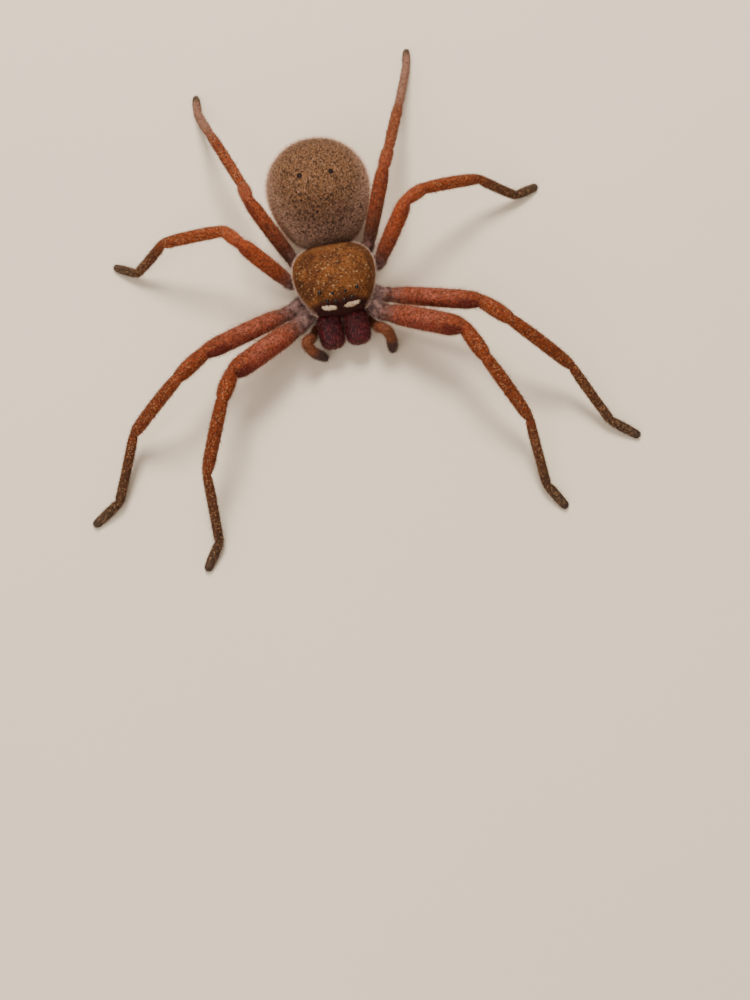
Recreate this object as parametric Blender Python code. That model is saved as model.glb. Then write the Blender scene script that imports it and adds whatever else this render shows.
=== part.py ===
"""Adult female badge huntsman spider, life size, standing still with its legs spread.

The spider faces -Y, its left side is toward +X, and the flats under its feet lie on Z = 0.
The driving sizes are in millimetres. Meshes are drawn in millimetres about the middle of the
head shield and are turned into metres as each one is finished.
"""

import math
from dataclasses import dataclass

import bmesh
import bpy
from mathutils import Matrix, Vector

MM = 0.001
GAP = 0.3
SOCKET_GAP = 0.2
SIDES = {"left": 1.0, "right": -1.0}
UP = Vector((0.0, 0.0, 1.0))

# Head shield: stations from the front edge to the rear edge, as
# (y, half width, height of the top, height of the rim).
SHIELD_STATIONS = (
    (-5.6, 3.1, 6.8, 5.75),
    (-5.35, 3.55, 7.6, 5.8),
    (-4.4, 4.05, 8.7, 5.9),
    (-3.0, 4.75, 9.45, 6.0),
    (-1.2, 5.35, 9.85, 6.0),
    (0.7, 5.4, 9.8, 6.0),
    (2.1, 4.9, 8.8, 6.0),
    (3.1, 4.0, 7.5, 6.0),
    (3.7, 2.8, 6.6, 6.05),
)
SHIELD_RINGS = 17
SHIELD_SIDES = 28
SHIELD_EDGE = 0.25
SHIELD_ARCH = 2.25

# Abdomen: stations from the front to the rear, as (y, half width, bottom, top).
ABDOMEN_STATIONS = (
    (4.4, 2.2, 3.8, 7.0),
    (4.9, 3.8, 2.8, 8.4),
    (6.4, 5.2, 1.7, 10.4),
    (8.6, 6.3, 1.2, 11.7),
    (11.2, 6.9, 1.0, 12.2),
    (13.8, 6.6, 1.2, 11.9),
    (16.0, 5.3, 2.1, 10.7),
    (17.6, 3.4, 3.6, 9.0),
    (18.2, 1.7, 4.9, 7.6),
)
ABDOMEN_RINGS = 19
ABDOMEN_SIDES = 28
ABDOMEN_TURN = math.radians(-0.5)
ABDOMEN_ROUNDNESS = 2.1

# Underside of the front body: breastplate, hips of the legs, lip and mouth plates.
PLATE_STATIONS = (
    (-3.7, 1.5, 3.1, 4.4),
    (-2.6, 2.9, 2.4, 5.0),
    (-0.6, 3.4, 2.1, 5.4),
    (1.6, 3.1, 2.2, 5.4),
    (3.0, 1.8, 2.9, 5.2),
)
PLATE_RINGS = 9
PLATE_SIDES = 18
HIP_INSET = 0.4
HIP_HEIGHT = 4.15
LIP_CENTRE = (0.0, -4.1, 2.75)
LIP_SIZE = (0.8, 0.9, 0.45)
MOUTH_PLATE_START = (1.5, -3.3, 3.0)
MOUTH_PLATE_END = (1.25, -5.5, 2.1)
MOUTH_PLATE_RADIUS = 0.75
MOUTH_PLATE_PROFILE = ((0.0, 0.8), (0.3, 1.0), (0.8, 0.85), (1.0, 0.4))
PALP_BASE_START = (2.1, -4.1, 2.6)
PALP_BASE_PROFILE = ((0.0, 0.5), (0.5, 0.56), (1.0, 0.46))
WAIST_START = (0.0, 2.2, 4.5)
WAIST_END = (0.0, 3.95, 5.0)
WAIST_RADIUS = 0.8
WAIST_PROFILE = ((0.0, 1.0), (0.5, 0.92), (1.0, 0.9))

# Jaws and fangs.
JAW_START = (1.76, -5.0, 4.2)
JAW_END = (1.74, -8.75, 2.35)
JAW_HALF_WIDTH = 1.57
JAW_HALF_HEIGHT = 1.45
JAW_SIDES = 16
JAW_ROUNDNESS = 2.5
JAW_PROFILE = (
    (0.0, 0.8),
    (0.07, 0.93),
    (0.3, 1.01),
    (0.55, 1.02),
    (0.78, 1.0),
    (0.93, 0.86),
    (1.0, 0.55),
)
FANG_PATH = ((1.9, -8.3, 0.73), (1.35, -8.15, 0.63), (0.85, -7.6, 0.65), (0.5, -6.9, 0.75))
FANG_RADII = (0.42, 0.38, 0.28, 0.14)

# Palps: joints from the mouth plate to the tip.
PALP_JOINTS = {
    "left": (
        (3.45, -5.35, 2.1),
        (4.35, -7.15, 2.75),
        (4.85, -8.15, 4.7),
        (5.45, -8.75, 4.9),
        (5.95, -9.35, 3.3),
        (6.0, -10.2, 0.75),
    ),
    "right": (
        (3.45, -5.35, 2.1),
        (4.35, -7.15, 2.75),
        (5.1, -8.0, 4.75),
        (5.25, -8.6, 4.6),
        (4.6, -9.2, 3.1),
        (3.0, -9.6, 0.9),
    ),
}
PALP_RADII = (0.45, 0.5, 0.62, 0.64, 0.62, 0.38)
PALP_MID_RADII = (0.5, 0.62, 0.66, 0.68, 0.7)

# Spinnerets: a short cluster under the rear of the abdomen, in an upper and a lower pair, each
# pair as (height above the root, distance from the midline, how steeply it rises).
SPINNERET_ROOT = (0.0, 17.7, 3.6)
SPINNERET_HEADING = (0.0, 0.8, -0.6)
SPINNERET_PAIRS = ((0.45, 0.56, 0.1), (-0.35, 0.37, -0.2))
SPINNERET_SPLAY = 0.12
SPINNERET_LENGTH = 1.5
SPINNERET_RADIUS = 0.5
SPINNERET_PROFILE = ((0.0, 0.9), (0.4, 1.0), (0.8, 0.75), (1.0, 0.35))
SPINNERET_BASE_CENTRE = (0.0, 17.8, 3.6)
SPINNERET_BASE_SIZE = (1.15, 0.6, 0.95)
SPINNERET_CLEARANCE = 0.48

# Eyes: (name, distance from the midline, y, radius), two rows of four across the head's front.
EYES = (
    ("front_middle", 0.56, -4.95, 0.27),
    ("front_side", 1.62, -4.78, 0.33),
    ("rear_middle", 0.82, -4.1, 0.25),
    ("rear_side", 2.45, -3.75, 0.3),
)
EYE_SEGMENTS = 12
EYE_RINGS = 7
EYE_SINK = 0.45

# Legs.
HIP_JOINT_HEIGHT = 4.4
HIP_NECK = 0.77
HIP_PROFILE = ((0.0, 0.85), (0.35, 1.05), (0.75, 1.05), (1.0, 1.0))
ANKLE_HEIGHT = 1.15
TIP_SINK = 0.55
SEGMENTS = ("femur", "patella", "tibia", "metatarsus", "tarsus")
SEGMENT_PROFILES = {
    "femur": ((0.05, 0.75), (0.1, 0.73), (0.22, 0.94), (0.5, 1.04), (0.8, 1.0), (0.93, 0.93)),
    "patella": ((0.2, 1.0), (0.5, 1.05), (0.82, 0.98)),
    "tibia": ((0.12, 0.97), (0.4, 1.02), (0.75, 0.96), (0.92, 0.9)),
    "metatarsus": ((0.1, 1.0), (0.5, 0.95), (0.9, 0.93)),
    "tarsus": ((0.12, 1.0), (0.5, 1.08), (0.82, 1.05), (0.95, 0.82)),
}
SEGMENT_SIDES = {"femur": 12, "patella": 12, "tibia": 12, "metatarsus": 10, "tarsus": 10}
SEGMENT_BOW = {"femur": 0.008, "patella": 0.02, "tibia": 0.02, "metatarsus": -0.012, "tarsus": 0.0}
JOINT_NECK = 0.95
TIP_NECK = 0.5
MITRE_REACH = 0.35


@dataclass(frozen=True)
class LegPair:
    """Sizes and stance of one pair of legs, in millimetres and degrees.

    Heights are those of the knee, the end of the patella and the end of the tibia. Headings are
    measured from straight out to the side, and grow toward the rear.
    """

    bases: dict
    lengths: tuple
    radii: tuple
    heights: dict
    headings: dict


LEG_PAIRS = (
    LegPair(
        bases={"left": (5.3, -5.9), "right": (5.6, -5.7)},
        lengths=(11.6, 4.8, 9.9, 9.1, 4.0),
        radii=(1.38, 0.97, 0.85, 0.69, 0.62),
        heights={"left": (8.0, 8.3, 4.5), "right": (7.1, 9.5, 5.3)},
        headings={"left": (-30, -69, -60, -83, -57), "right": (-31, -71, -63, -87, -54)},
    ),
    LegPair(
        bases={"left": (6.0, -3.6), "right": (6.55, -3.6)},
        lengths=(12.9, 5.1, 10.7, 9.1, 4.5),
        radii=(1.18, 0.95, 0.84, 0.69, 0.63),
        heights={"left": (7.3, 9.0, 4.6), "right": (7.8, 9.2, 3.2)},
        headings={"left": (-20.5, -54, -39.5, -59, -36), "right": (-22.6, -41.5, -28, -66, -30)},
    ),
    LegPair(
        bases={"left": (6.3, 1.0), "right": (5.9, 0.3)},
        lengths=(8.8, 3.6, 9.4, 7.0, 3.8),
        radii=(1.02, 0.82, 0.79, 0.68, 0.58),
        heights={"left": (10.4, 9.2, 5.3), "right": (10.7, 9.6, 6.1)},
        headings={"left": (48, 34, 15, -11.5, 21), "right": (34, 55, 11, -11.5, 34)},
    ),
    LegPair(
        bases={"left": (5.2, 3.35), "right": (4.7, 2.8)},
        lengths=(10.2, 4.0, 10.5, 9.4, 3.4),
        radii=(0.94, 0.8, 0.71, 0.62, 0.54),
        heights={"left": (10.4, 8.9, 4.7), "right": (10.9, 8.9, 6.8)},
        headings={"left": (65, 68, 70, 71, 78), "right": (56, 82, 71.5, 77, 92)},
    ),
)

# Colours as (red, green, blue) and roughness.
COLOURS = {
    "shield": ((0.19, 0.085, 0.03), 0.75),
    "abdomen": ((0.16, 0.10, 0.075), 0.9),
    "plate": ((0.17, 0.075, 0.045), 0.8),
    "jaw": ((0.028, 0.008, 0.014), 0.5),
    "fang": ((0.012, 0.006, 0.006), 0.25),
    "palp": ((0.15, 0.055, 0.025), 0.8),
    "eye": ((0.006, 0.005, 0.005), 0.12),
    "spinneret": ((0.11, 0.07, 0.055), 0.85),
    "femur": ((0.22, 0.062, 0.03), 0.7),
    "patella": ((0.2, 0.055, 0.026), 0.7),
    "tibia": ((0.17, 0.05, 0.026), 0.75),
    "metatarsus": ((0.085, 0.034, 0.022), 0.8),
    "tarsus": ((0.03, 0.018, 0.016), 0.9),
}


@dataclass
class Section:
    """One closed ring of a loft: an ellipse-like curve with its own top and bottom reach."""

    centre: Vector
    side: Vector
    up: Vector
    half_width: float
    top: float
    bottom: float
    roundness: float = 2.0


def clear_scene():
    """Remove every object that the file opens with."""
    for thing in list(bpy.data.objects):
        bpy.data.objects.remove(thing, do_unlink=True)


def make_material(name, key):
    """Return a Principled material in one of the named colours."""
    colour, roughness = COLOURS[key]
    material = bpy.data.materials.new(name)
    material.use_nodes = True
    shader = material.node_tree.nodes["Principled BSDF"]
    shader.inputs["Base Color"].default_value = (*colour, 1.0)
    shader.inputs["Roughness"].default_value = roughness
    shader.inputs["Metallic"].default_value = 0.0
    material.diffuse_color = (*colour, 1.0)
    return material


def finish(name, bm, key, parent):
    """Turn a mesh drawn in millimetres into a named object with its own material."""
    bmesh.ops.recalc_face_normals(bm, faces=bm.faces)
    bmesh.ops.scale(bm, vec=(MM, MM, MM), verts=bm.verts)
    mesh = bpy.data.meshes.new(name)
    bm.to_mesh(mesh)
    bm.free()
    mesh.shade_smooth()
    mesh.materials.append(make_material(name, key))
    thing = bpy.data.objects.new(name, mesh)
    bpy.context.scene.collection.objects.link(thing)
    thing.parent = parent
    return thing


def superpower(value, roundness):
    """Return a signed power that squares off a circle's sine or cosine."""
    return math.copysign(abs(value) ** (2.0 / roundness), value)


def add_section(bm, section, sides, capped):
    """Add one ring to the mesh and return its vertices in order."""
    made = bmesh.ops.create_circle(bm, cap_ends=capped, segments=sides, radius=1.0)
    verts = made["verts"]
    for index, vert in enumerate(verts):
        angle = 2.0 * math.pi * (index + 0.5) / sides
        across = superpower(math.cos(angle), section.roundness) * section.half_width
        lift = superpower(math.sin(angle), section.roundness)
        lift *= section.top if lift > 0.0 else section.bottom
        vert.co = section.centre + section.side * across + section.up * lift
    return verts


def bridge(bm, first, second):
    """Join two neighbouring rings with a band of faces."""
    wanted = set(first) | set(second)
    edges = [edge for edge in bm.edges if edge.verts[0] in wanted and edge.verts[1] in wanted]
    bmesh.ops.bridge_loops(bm, edges=edges)


def loft(rings_of_sections, sides):
    """Return a closed mesh through the given sections, with both ends capped."""
    bm = bmesh.new()
    last = len(rings_of_sections) - 1
    rings = []
    for index, section in enumerate(rings_of_sections):
        rings.append(add_section(bm, section, sides, capped=index in (0, last)))
    for first, second in zip(rings, rings[1:]):
        bridge(bm, first, second)
    return bm, rings


def smooth_row(rows, position):
    """Return the row at a fractional position, on a smooth curve through the given rows."""
    last = len(rows) - 1
    index = min(int(position), last - 1)
    t = position - index
    before = rows[max(index - 1, 0)]
    here = rows[index]
    after = rows[index + 1]
    beyond = rows[min(index + 2, last)]
    values = []
    for a, b, c, d in zip(before, here, after, beyond):
        slope_here = 0.5 * (c - a)
        slope_after = 0.5 * (d - b)
        curve = b + slope_here * t + (3.0 * (c - b) - 2.0 * slope_here - slope_after) * t * t
        curve += (2.0 * (b - c) + slope_here + slope_after) * t * t * t
        values.append(curve)
    return values


def spread_rows(rows, count):
    """Return evenly spaced rows along the smooth curve through the given ones."""
    last = len(rows) - 1
    return [smooth_row(rows, last * index / (count - 1)) for index in range(count)]


def body_sections(rows, count, roundness, rest_on_bottom):
    """Return sections across the body's length from rows of half width, bottom and top."""
    sections = []
    for y, half_width, bottom, top in spread_rows(rows, count):
        middle = bottom if rest_on_bottom else 0.5 * (bottom + top)
        centre = Vector((0.0, y, middle))
        reach_up = top - middle
        reach_down = SHIELD_EDGE if rest_on_bottom else middle - bottom
        sections.append(
            Section(centre, Vector((1.0, 0.0, 0.0)), UP, half_width, reach_up, reach_down, roundness)
        )
    return sections


def frame_along(direction):
    """Return the side and up directions of a ring whose axis is the given direction."""
    side = direction.cross(UP)
    if side.length < 1e-6:
        side = Vector((1.0, 0.0, 0.0))
    side.normalize()
    return side, side.cross(direction).normalized()


def slide_onto_plane(point, direction, plane_point, normal):
    """Return how far a point moves along the direction to reach the plane."""
    return (plane_point - point).dot(normal) / direction.dot(normal)


def limb_segment(
    start, end, start_normal, end_normal, profile, sides, bow=0.0, start_gap=0.0, end_gap=0.0
):
    """Return one limb segment whose ends are cut on the planes that it shares with its neighbours.

    The profile holds (fraction of the length, radius). The cut planes fade out along the
    segment, so that the rings never cross one another.
    """
    direction = (end - start).normalized()
    length = (end - start).length
    side, up = frame_along(direction)
    sections = []
    for fraction, radius in profile:
        lift = up * (bow * length * math.sin(math.pi * fraction))
        centre = start + direction * (length * fraction) + lift
        sections.append(Section(centre, side, up, radius, radius, radius))
    bm, rings = loft(sections, sides)
    for (fraction, _radius), ring in zip(profile, rings):
        near_start = max(0.0, 1.0 - fraction / MITRE_REACH)
        near_end = max(0.0, 1.0 - (1.0 - fraction) / MITRE_REACH)
        for vert in ring:
            shift = 0.0
            if start_normal is not None and near_start > 0.0:
                anchor = start + start_normal * (0.5 * start_gap)
                base = vert.co - direction * (length * fraction)
                shift += near_start * slide_onto_plane(base, direction, anchor, start_normal)
            if end_normal is not None and near_end > 0.0:
                anchor = end - end_normal * (0.5 * end_gap)
                base = vert.co + direction * (length * (1.0 - fraction))
                shift += near_end * slide_onto_plane(base, direction, anchor, end_normal)
            vert.co = vert.co + direction * shift
    return bm


def mitre_normals(points):
    """Return the plane normal at each inner joint, halfway between the two segments' directions."""
    directions = [(b - a).normalized() for a, b in zip(points, points[1:])]
    return [(a + b).normalized() for a, b in zip(directions, directions[1:])]


def leg_points(pair, side_name):
    """Return the hip, the five joints and the tip of one leg."""
    side = SIDES[side_name]
    out, along = pair.bases[side_name]
    base = Vector((side * out, along, HIP_JOINT_HEIGHT))
    inner = Vector((base.x * HIP_INSET, base.y * HIP_INSET, HIP_HEIGHT))
    points = [inner, base]
    heights = (*pair.heights[side_name], ANKLE_HEIGHT, TIP_SINK * pair.radii[-1])
    for length, height, heading in zip(pair.lengths, heights, pair.headings[side_name]):
        here = points[-1]
        run = math.sqrt(length * length - (height - here.z) ** 2)
        angle = math.radians(heading)
        step = Vector((side * math.cos(angle), math.sin(angle), 0.0)) * run
        points.append(Vector((here.x, here.y, height)) + step)
    return points


def cut_foot_flat(bm):
    """Cut what lies below the ground off a foot and close it with a flat."""
    geometry = bm.verts[:] + bm.edges[:] + bm.faces[:]
    bmesh.ops.bisect_plane(
        bm, geom=geometry, dist=0.0001, plane_co=(0.0, 0.0, 0.0), plane_no=(0.0, 0.0, 1.0), clear_inner=True
    )
    bmesh.ops.holes_fill(bm, edges=[edge for edge in bm.edges if edge.is_boundary])
    for vert in bm.verts:
        if vert.co.z < 0.001:
            vert.co.z = 0.0


def scaled(profile, radius):
    """Return a profile whose factors are turned into radii."""
    return tuple((fraction, factor * radius) for fraction, factor in profile)


def build_leg(number, pair, side_name, parent):
    """Build the five segments of one leg; return its hip, a mesh for the underside."""
    points = leg_points(pair, side_name)
    normals = mitre_normals(points)
    joint_radii = [JOINT_NECK * min(a, b) for a, b in zip(pair.radii, pair.radii[1:])]
    hip_radius = HIP_NECK * pair.radii[0]
    starts = [hip_radius, *joint_radii]
    ends = [*joint_radii, TIP_NECK * pair.radii[-1]]
    for index, segment in enumerate(SEGMENTS):
        radius = pair.radii[index]
        inner = scaled(SEGMENT_PROFILES[segment], radius)
        profile = [(0.0, starts[index]), *inner, (1.0, ends[index])]
        is_tip = index == len(SEGMENTS) - 1
        bm = limb_segment(
            points[index + 1],
            points[index + 2],
            normals[index],
            None if is_tip else normals[index + 1],
            profile,
            SEGMENT_SIDES[segment],
            bow=SEGMENT_BOW[segment],
            start_gap=GAP,
            end_gap=GAP,
        )
        if is_tip:
            cut_foot_flat(bm)
        finish(f"leg_{number}_{side_name}_{segment}", bm, segment, parent)
    hip_profile = scaled(HIP_PROFILE, hip_radius)
    sides = SEGMENT_SIDES["femur"]
    return limb_segment(points[0], points[1], None, normals[0], hip_profile, sides, end_gap=GAP)


def ellipsoid(centre, size, segments, rings):
    """Return an ellipsoid mesh about a point."""
    bm = bmesh.new()
    place = Matrix.Translation(Vector(centre)) @ Matrix.Diagonal((*size, 1.0))
    bmesh.ops.create_uvsphere(bm, u_segments=segments, v_segments=rings, radius=1.0, matrix=place)
    return bm


def taper(start, end, profile, sides):
    """Return a straight tapering piece, with its radii given along its length."""
    return limb_segment(Vector(start), Vector(end), None, None, profile, sides)


def combine(target, cutters, operation, solver="EXACT"):
    """Join the cutters to an object, or cut them from it, and keep its largest closed surface."""
    group = bpy.data.collections.new(target.name + "_tools")
    for cutter in cutters:
        for owner in list(cutter.users_collection):
            owner.objects.unlink(cutter)
        group.objects.link(cutter)
    bpy.context.scene.collection.children.link(group)
    modifier = target.modifiers.new(operation.lower(), "BOOLEAN")
    modifier.operation = operation
    modifier.operand_type = "COLLECTION"
    modifier.collection = group
    modifier.solver = solver
    bpy.context.view_layer.update()
    graph = bpy.context.evaluated_depsgraph_get()
    mesh = bpy.data.meshes.new_from_object(target.evaluated_get(graph))
    target.modifiers.clear()
    old = target.data
    target.data = mesh
    bpy.data.meshes.remove(old)
    mesh.name = target.name
    for cutter in cutters:
        bpy.data.objects.remove(cutter, do_unlink=True)
    bpy.data.collections.remove(group)
    keep_largest(target)
    target.data.shade_smooth()


def keep_largest(thing):
    """Drop every surface of an object but its largest closed one."""
    bm = bmesh.new()
    bm.from_mesh(thing.data)
    bmesh.ops.remove_doubles(bm, verts=bm.verts, dist=0.002 * MM)
    left = set(bm.faces)
    groups = []
    while left:
        stack = [left.pop()]
        group = set(stack)
        while stack:
            face = stack.pop()
            for edge in face.edges:
                for other in edge.link_faces:
                    if other in left:
                        left.discard(other)
                        group.add(other)
                        stack.append(other)
        groups.append(group)
    largest = max(groups, key=lambda faces: sum(face.calc_area() for face in faces))
    unwanted = [face for face in bm.faces if face not in largest]
    if unwanted:
        bmesh.ops.delete(bm, geom=unwanted, context="FACES")
    bm.to_mesh(thing.data)
    bm.free()


def shield_mesh(margin=0.0):
    """Return the domed head shield, larger all round by a margin."""
    rows = [(y, half_width + margin, rim, top + margin) for y, half_width, top, rim in SHIELD_STATIONS]
    sections = body_sections(rows, SHIELD_RINGS, SHIELD_ARCH, rest_on_bottom=True)
    for section in sections:
        section.bottom += margin
    sections[0].centre.y -= margin
    sections[-1].centre.y += margin
    bm, _rings = loft(sections, SHIELD_SIDES)
    return bm


def build_shield(parent):
    """Build the head shield."""
    return finish("carapace", shield_mesh(), "shield", parent)


def shield_surface(x, y):
    """Return a point on top of the head shield and the outward direction there."""
    rows = SHIELD_STATIONS

    def height(at_x, at_y):
        low, high = 0.0, float(len(rows) - 1)
        for _step in range(40):
            middle = 0.5 * (low + high)
            if smooth_row(rows, middle)[0] < at_y:
                low = middle
            else:
                high = middle
        _y, half_width, top, rim = smooth_row(rows, 0.5 * (low + high))
        share = min(abs(at_x) / half_width, 0.999)
        return rim + (top - rim) * (1.0 - share ** SHIELD_ARCH) ** (1.0 / SHIELD_ARCH)

    step = 0.05
    here = height(x, y)
    slope_x = (height(x + step, y) - height(x - step, y)) / (2.0 * step)
    slope_y = (height(x, y + step) - height(x, y - step)) / (2.0 * step)
    return Vector((x, y, here)), Vector((-slope_x, -slope_y, 1.0)).normalized()


def build_eyes(shield, parent):
    """Build the eight eyes, each sunk in a socket of the head shield."""
    sockets = []
    for name, distance, y, radius in EYES:
        for side_name, side in SIDES.items():
            surface, outward = shield_surface(side * distance, y)
            centre = surface - outward * (EYE_SINK * radius)
            turn = outward.to_track_quat("Z", "Y").to_matrix().to_4x4()
            for kind, reach in (("eye", radius), ("socket", radius + SOCKET_GAP)):
                bm = bmesh.new()
                place = Matrix.Translation(centre) @ turn
                bmesh.ops.create_uvsphere(
                    bm, u_segments=EYE_SEGMENTS, v_segments=EYE_RINGS, radius=reach, matrix=place
                )
                label = f"{kind}_{name}_{side_name}"
                made = finish(label, bm, "eye", parent)
                if kind == "socket":
                    sockets.append(made)
    combine(shield, sockets, "DIFFERENCE")


def abdomen_mesh(margin=0.0):
    """Return the egg-shaped abdomen, larger all round by a margin, before its turn."""
    rows = []
    for y, half_width, low, top in ABDOMEN_STATIONS:
        rows.append((y, half_width + margin, low - margin, top + margin))
    sections = body_sections(rows, ABDOMEN_RINGS, ABDOMEN_ROUNDNESS, rest_on_bottom=False)
    sections[0].centre.y -= margin
    sections[-1].centre.y += margin
    bm, _rings = loft(sections, ABDOMEN_SIDES)
    return bm


def build_abdomen(parent):
    """Build the abdomen, turned a little out of line with the front body."""
    thing = finish("abdomen", abdomen_mesh(), "abdomen", parent)
    turn_about_waist(thing)
    return thing


def build_spinnerets(parent):
    """Build the cluster of spinnerets under the abdomen's rear."""
    root = Vector(SPINNERET_ROOT)
    heading = Vector(SPINNERET_HEADING)
    profile = scaled(SPINNERET_PROFILE, SPINNERET_RADIUS)
    base = ellipsoid(SPINNERET_BASE_CENTRE, SPINNERET_BASE_SIZE, 12, 8)
    target = finish("spinnerets", base, "spinneret", parent)
    cutters = []
    for height, distance, rise in SPINNERET_PAIRS:
        for side in SIDES.values():
            start = root + Vector((side * distance, 0.0, height))
            way = (heading + Vector((side * SPINNERET_SPLAY, 0.0, rise))).normalized()
            bm = taper(start, start + way * SPINNERET_LENGTH, profile, 8)
            cutters.append(finish(f"spinneret_piece_{len(cutters)}", bm, "spinneret", parent))
    combine(target, cutters, "UNION")
    margin = finish("abdomen_margin", abdomen_mesh(SPINNERET_CLEARANCE), "abdomen", parent)
    combine(target, [margin], "DIFFERENCE")
    turn_about_waist(target)
    return target


def turn_about_waist(thing):
    """Turn a finished piece with the abdomen."""
    pivot = Vector(WAIST_END) * MM
    turn = Matrix.Translation(pivot) @ Matrix.Rotation(ABDOMEN_TURN, 4, "Z") @ Matrix.Translation(-pivot)
    thing.data.transform(turn)


def build_underside(hips, parent):
    """Build the breastplate with the legs' hips, the lip, mouth plates, palps' bases and waist."""
    sections = body_sections(PLATE_STATIONS, PLATE_RINGS, 2.0, rest_on_bottom=False)
    bm, _rings = loft(sections, PLATE_SIDES)
    target = finish("sternum", bm, "plate", parent)
    pieces = list(hips)
    pieces.append(ellipsoid(LIP_CENTRE, LIP_SIZE, 12, 8))
    pieces.append(taper(WAIST_START, WAIST_END, scaled(WAIST_PROFILE, WAIST_RADIUS), 12))
    plate_profile = scaled(MOUTH_PLATE_PROFILE, MOUTH_PLATE_RADIUS)
    for side_name, side in SIDES.items():
        start = mirrored(MOUTH_PLATE_START, side)
        end = mirrored(MOUTH_PLATE_END, side)
        pieces.append(taper(start, end, plate_profile, 10))
        pieces.append(palp_base(side_name))
    cutters = [finish(f"underside_piece_{index}", bm, "plate", parent) for index, bm in enumerate(pieces)]
    combine(target, cutters, "UNION")
    margins = [shield_mesh(GAP), *(jaw_mesh(side, GAP) for side in SIDES.values())]
    cutters = [finish(f"underside_margin_{index}", bm, "plate", parent) for index, bm in enumerate(margins)]
    combine(target, cutters, "DIFFERENCE")
    return target


def mirrored(point, side):
    """Return a point given for the left side, on either side."""
    return Vector((side * point[0], point[1], point[2]))


def palp_base(side_name):
    """Return the base of one palp, which faces the palp's root across the gap."""
    root, knee = (mirrored(point, SIDES[side_name]) for point in PALP_JOINTS[side_name][:2])
    start = mirrored(PALP_BASE_START, SIDES[side_name])
    facing = (knee - root).normalized()
    return limb_segment(start, root, None, facing, PALP_BASE_PROFILE, 12, end_gap=2.0 * GAP)


def jaw_mesh(side, margin=0.0):
    """Return one jaw, larger all round by a margin."""
    start = mirrored(JAW_START, side)
    end = mirrored(JAW_END, side)
    direction = (end - start).normalized()
    across, up = frame_along(direction)
    sections = []
    for fraction, factor in JAW_PROFILE:
        centre = start.lerp(end, fraction) + direction * (margin * (2.0 * fraction - 1.0))
        width = JAW_HALF_WIDTH * factor + margin
        height = JAW_HALF_HEIGHT * factor + margin
        sections.append(Section(centre, across, up, width, height, height, JAW_ROUNDNESS))
    bm, _rings = loft(sections, JAW_SIDES)
    return bm


def build_jaws(parent):
    """Build the two jaws and the fang under each."""
    for side_name, side in SIDES.items():
        finish(f"chelicera_{side_name}", jaw_mesh(side), "jaw", parent)
        path = [mirrored(point, side) for point in FANG_PATH]
        finish(f"fang_{side_name}", bent_tube(path, FANG_RADII, (), 8), "fang", parent)


def bent_tube(points, joint_radii, mid_radii, sides):
    """Return a closed tube through the points, with a ring on each joint's halfway plane."""
    normals = mitre_normals(points)
    directions = [(b - a).normalized() for a, b in zip(points, points[1:])]
    axes = [directions[0], *normals, directions[-1]]
    sections = []
    for index, point in enumerate(points):
        side, up = frame_along(axes[index])
        radius = joint_radii[index]
        sections.append(Section(point, side, up, radius, radius, radius))
        if index < len(mid_radii):
            side, up = frame_along(directions[index])
            radius = mid_radii[index]
            middle = point.lerp(points[index + 1], 0.5)
            sections.append(Section(middle, side, up, radius, radius, radius))
    bm, _rings = loft(sections, sides)
    return bm


def build_palps(parent):
    """Build the two palps, each one bent piece."""
    for side_name, side in SIDES.items():
        points = [mirrored(point, side) for point in PALP_JOINTS[side_name]]
        finish(f"palp_{side_name}", bent_tube(points, PALP_RADII, PALP_MID_RADII, 12), "palp", parent)


def centre_on_ground(root, pieces):
    """Move the whole spider so that the middle of its box's base is at the origin."""
    corners = [piece.matrix_world @ vert.co for piece in pieces for vert in piece.data.vertices]
    low = Vector([min(corner[axis] for corner in corners) for axis in range(3)])
    high = Vector([max(corner[axis] for corner in corners) for axis in range(3)])
    root.location = (-0.5 * (low.x + high.x), -0.5 * (low.y + high.y), 0.0)


def main():
    """Build the whole spider."""
    clear_scene()
    root = bpy.data.objects.new("huntsman", None)
    bpy.context.scene.collection.objects.link(root)
    hips = []
    for number, pair in enumerate(LEG_PAIRS, start=1):
        for side_name in SIDES:
            hips.append(build_leg(number, pair, side_name, root))
    shield = build_shield(root)
    build_eyes(shield, root)
    build_abdomen(root)
    build_spinnerets(root)
    build_underside(hips, root)
    build_jaws(root)
    build_palps(root)
    bpy.context.view_layer.update()
    pieces = [thing for thing in bpy.data.objects if thing.type == "MESH"]
    centre_on_ground(root, pieces)
    bpy.context.view_layer.update()


main()
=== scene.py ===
"""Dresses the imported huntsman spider.

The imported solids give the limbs' joints and sizes. Around them the script builds what shows:
one skin over legs, palps, underside and abdomen, a finer head shield, eyes, jaws, fangs and
claws, and a coat of short hair over all of it. Sizes in the classes are in millimetres. A place
along a leg is counted in segments, from 0 at the hip to 5 at the claws.
"""

import logging
import math
from collections.abc import Callable
from dataclasses import dataclass, field, replace
from enum import Enum
from functools import partial

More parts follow.
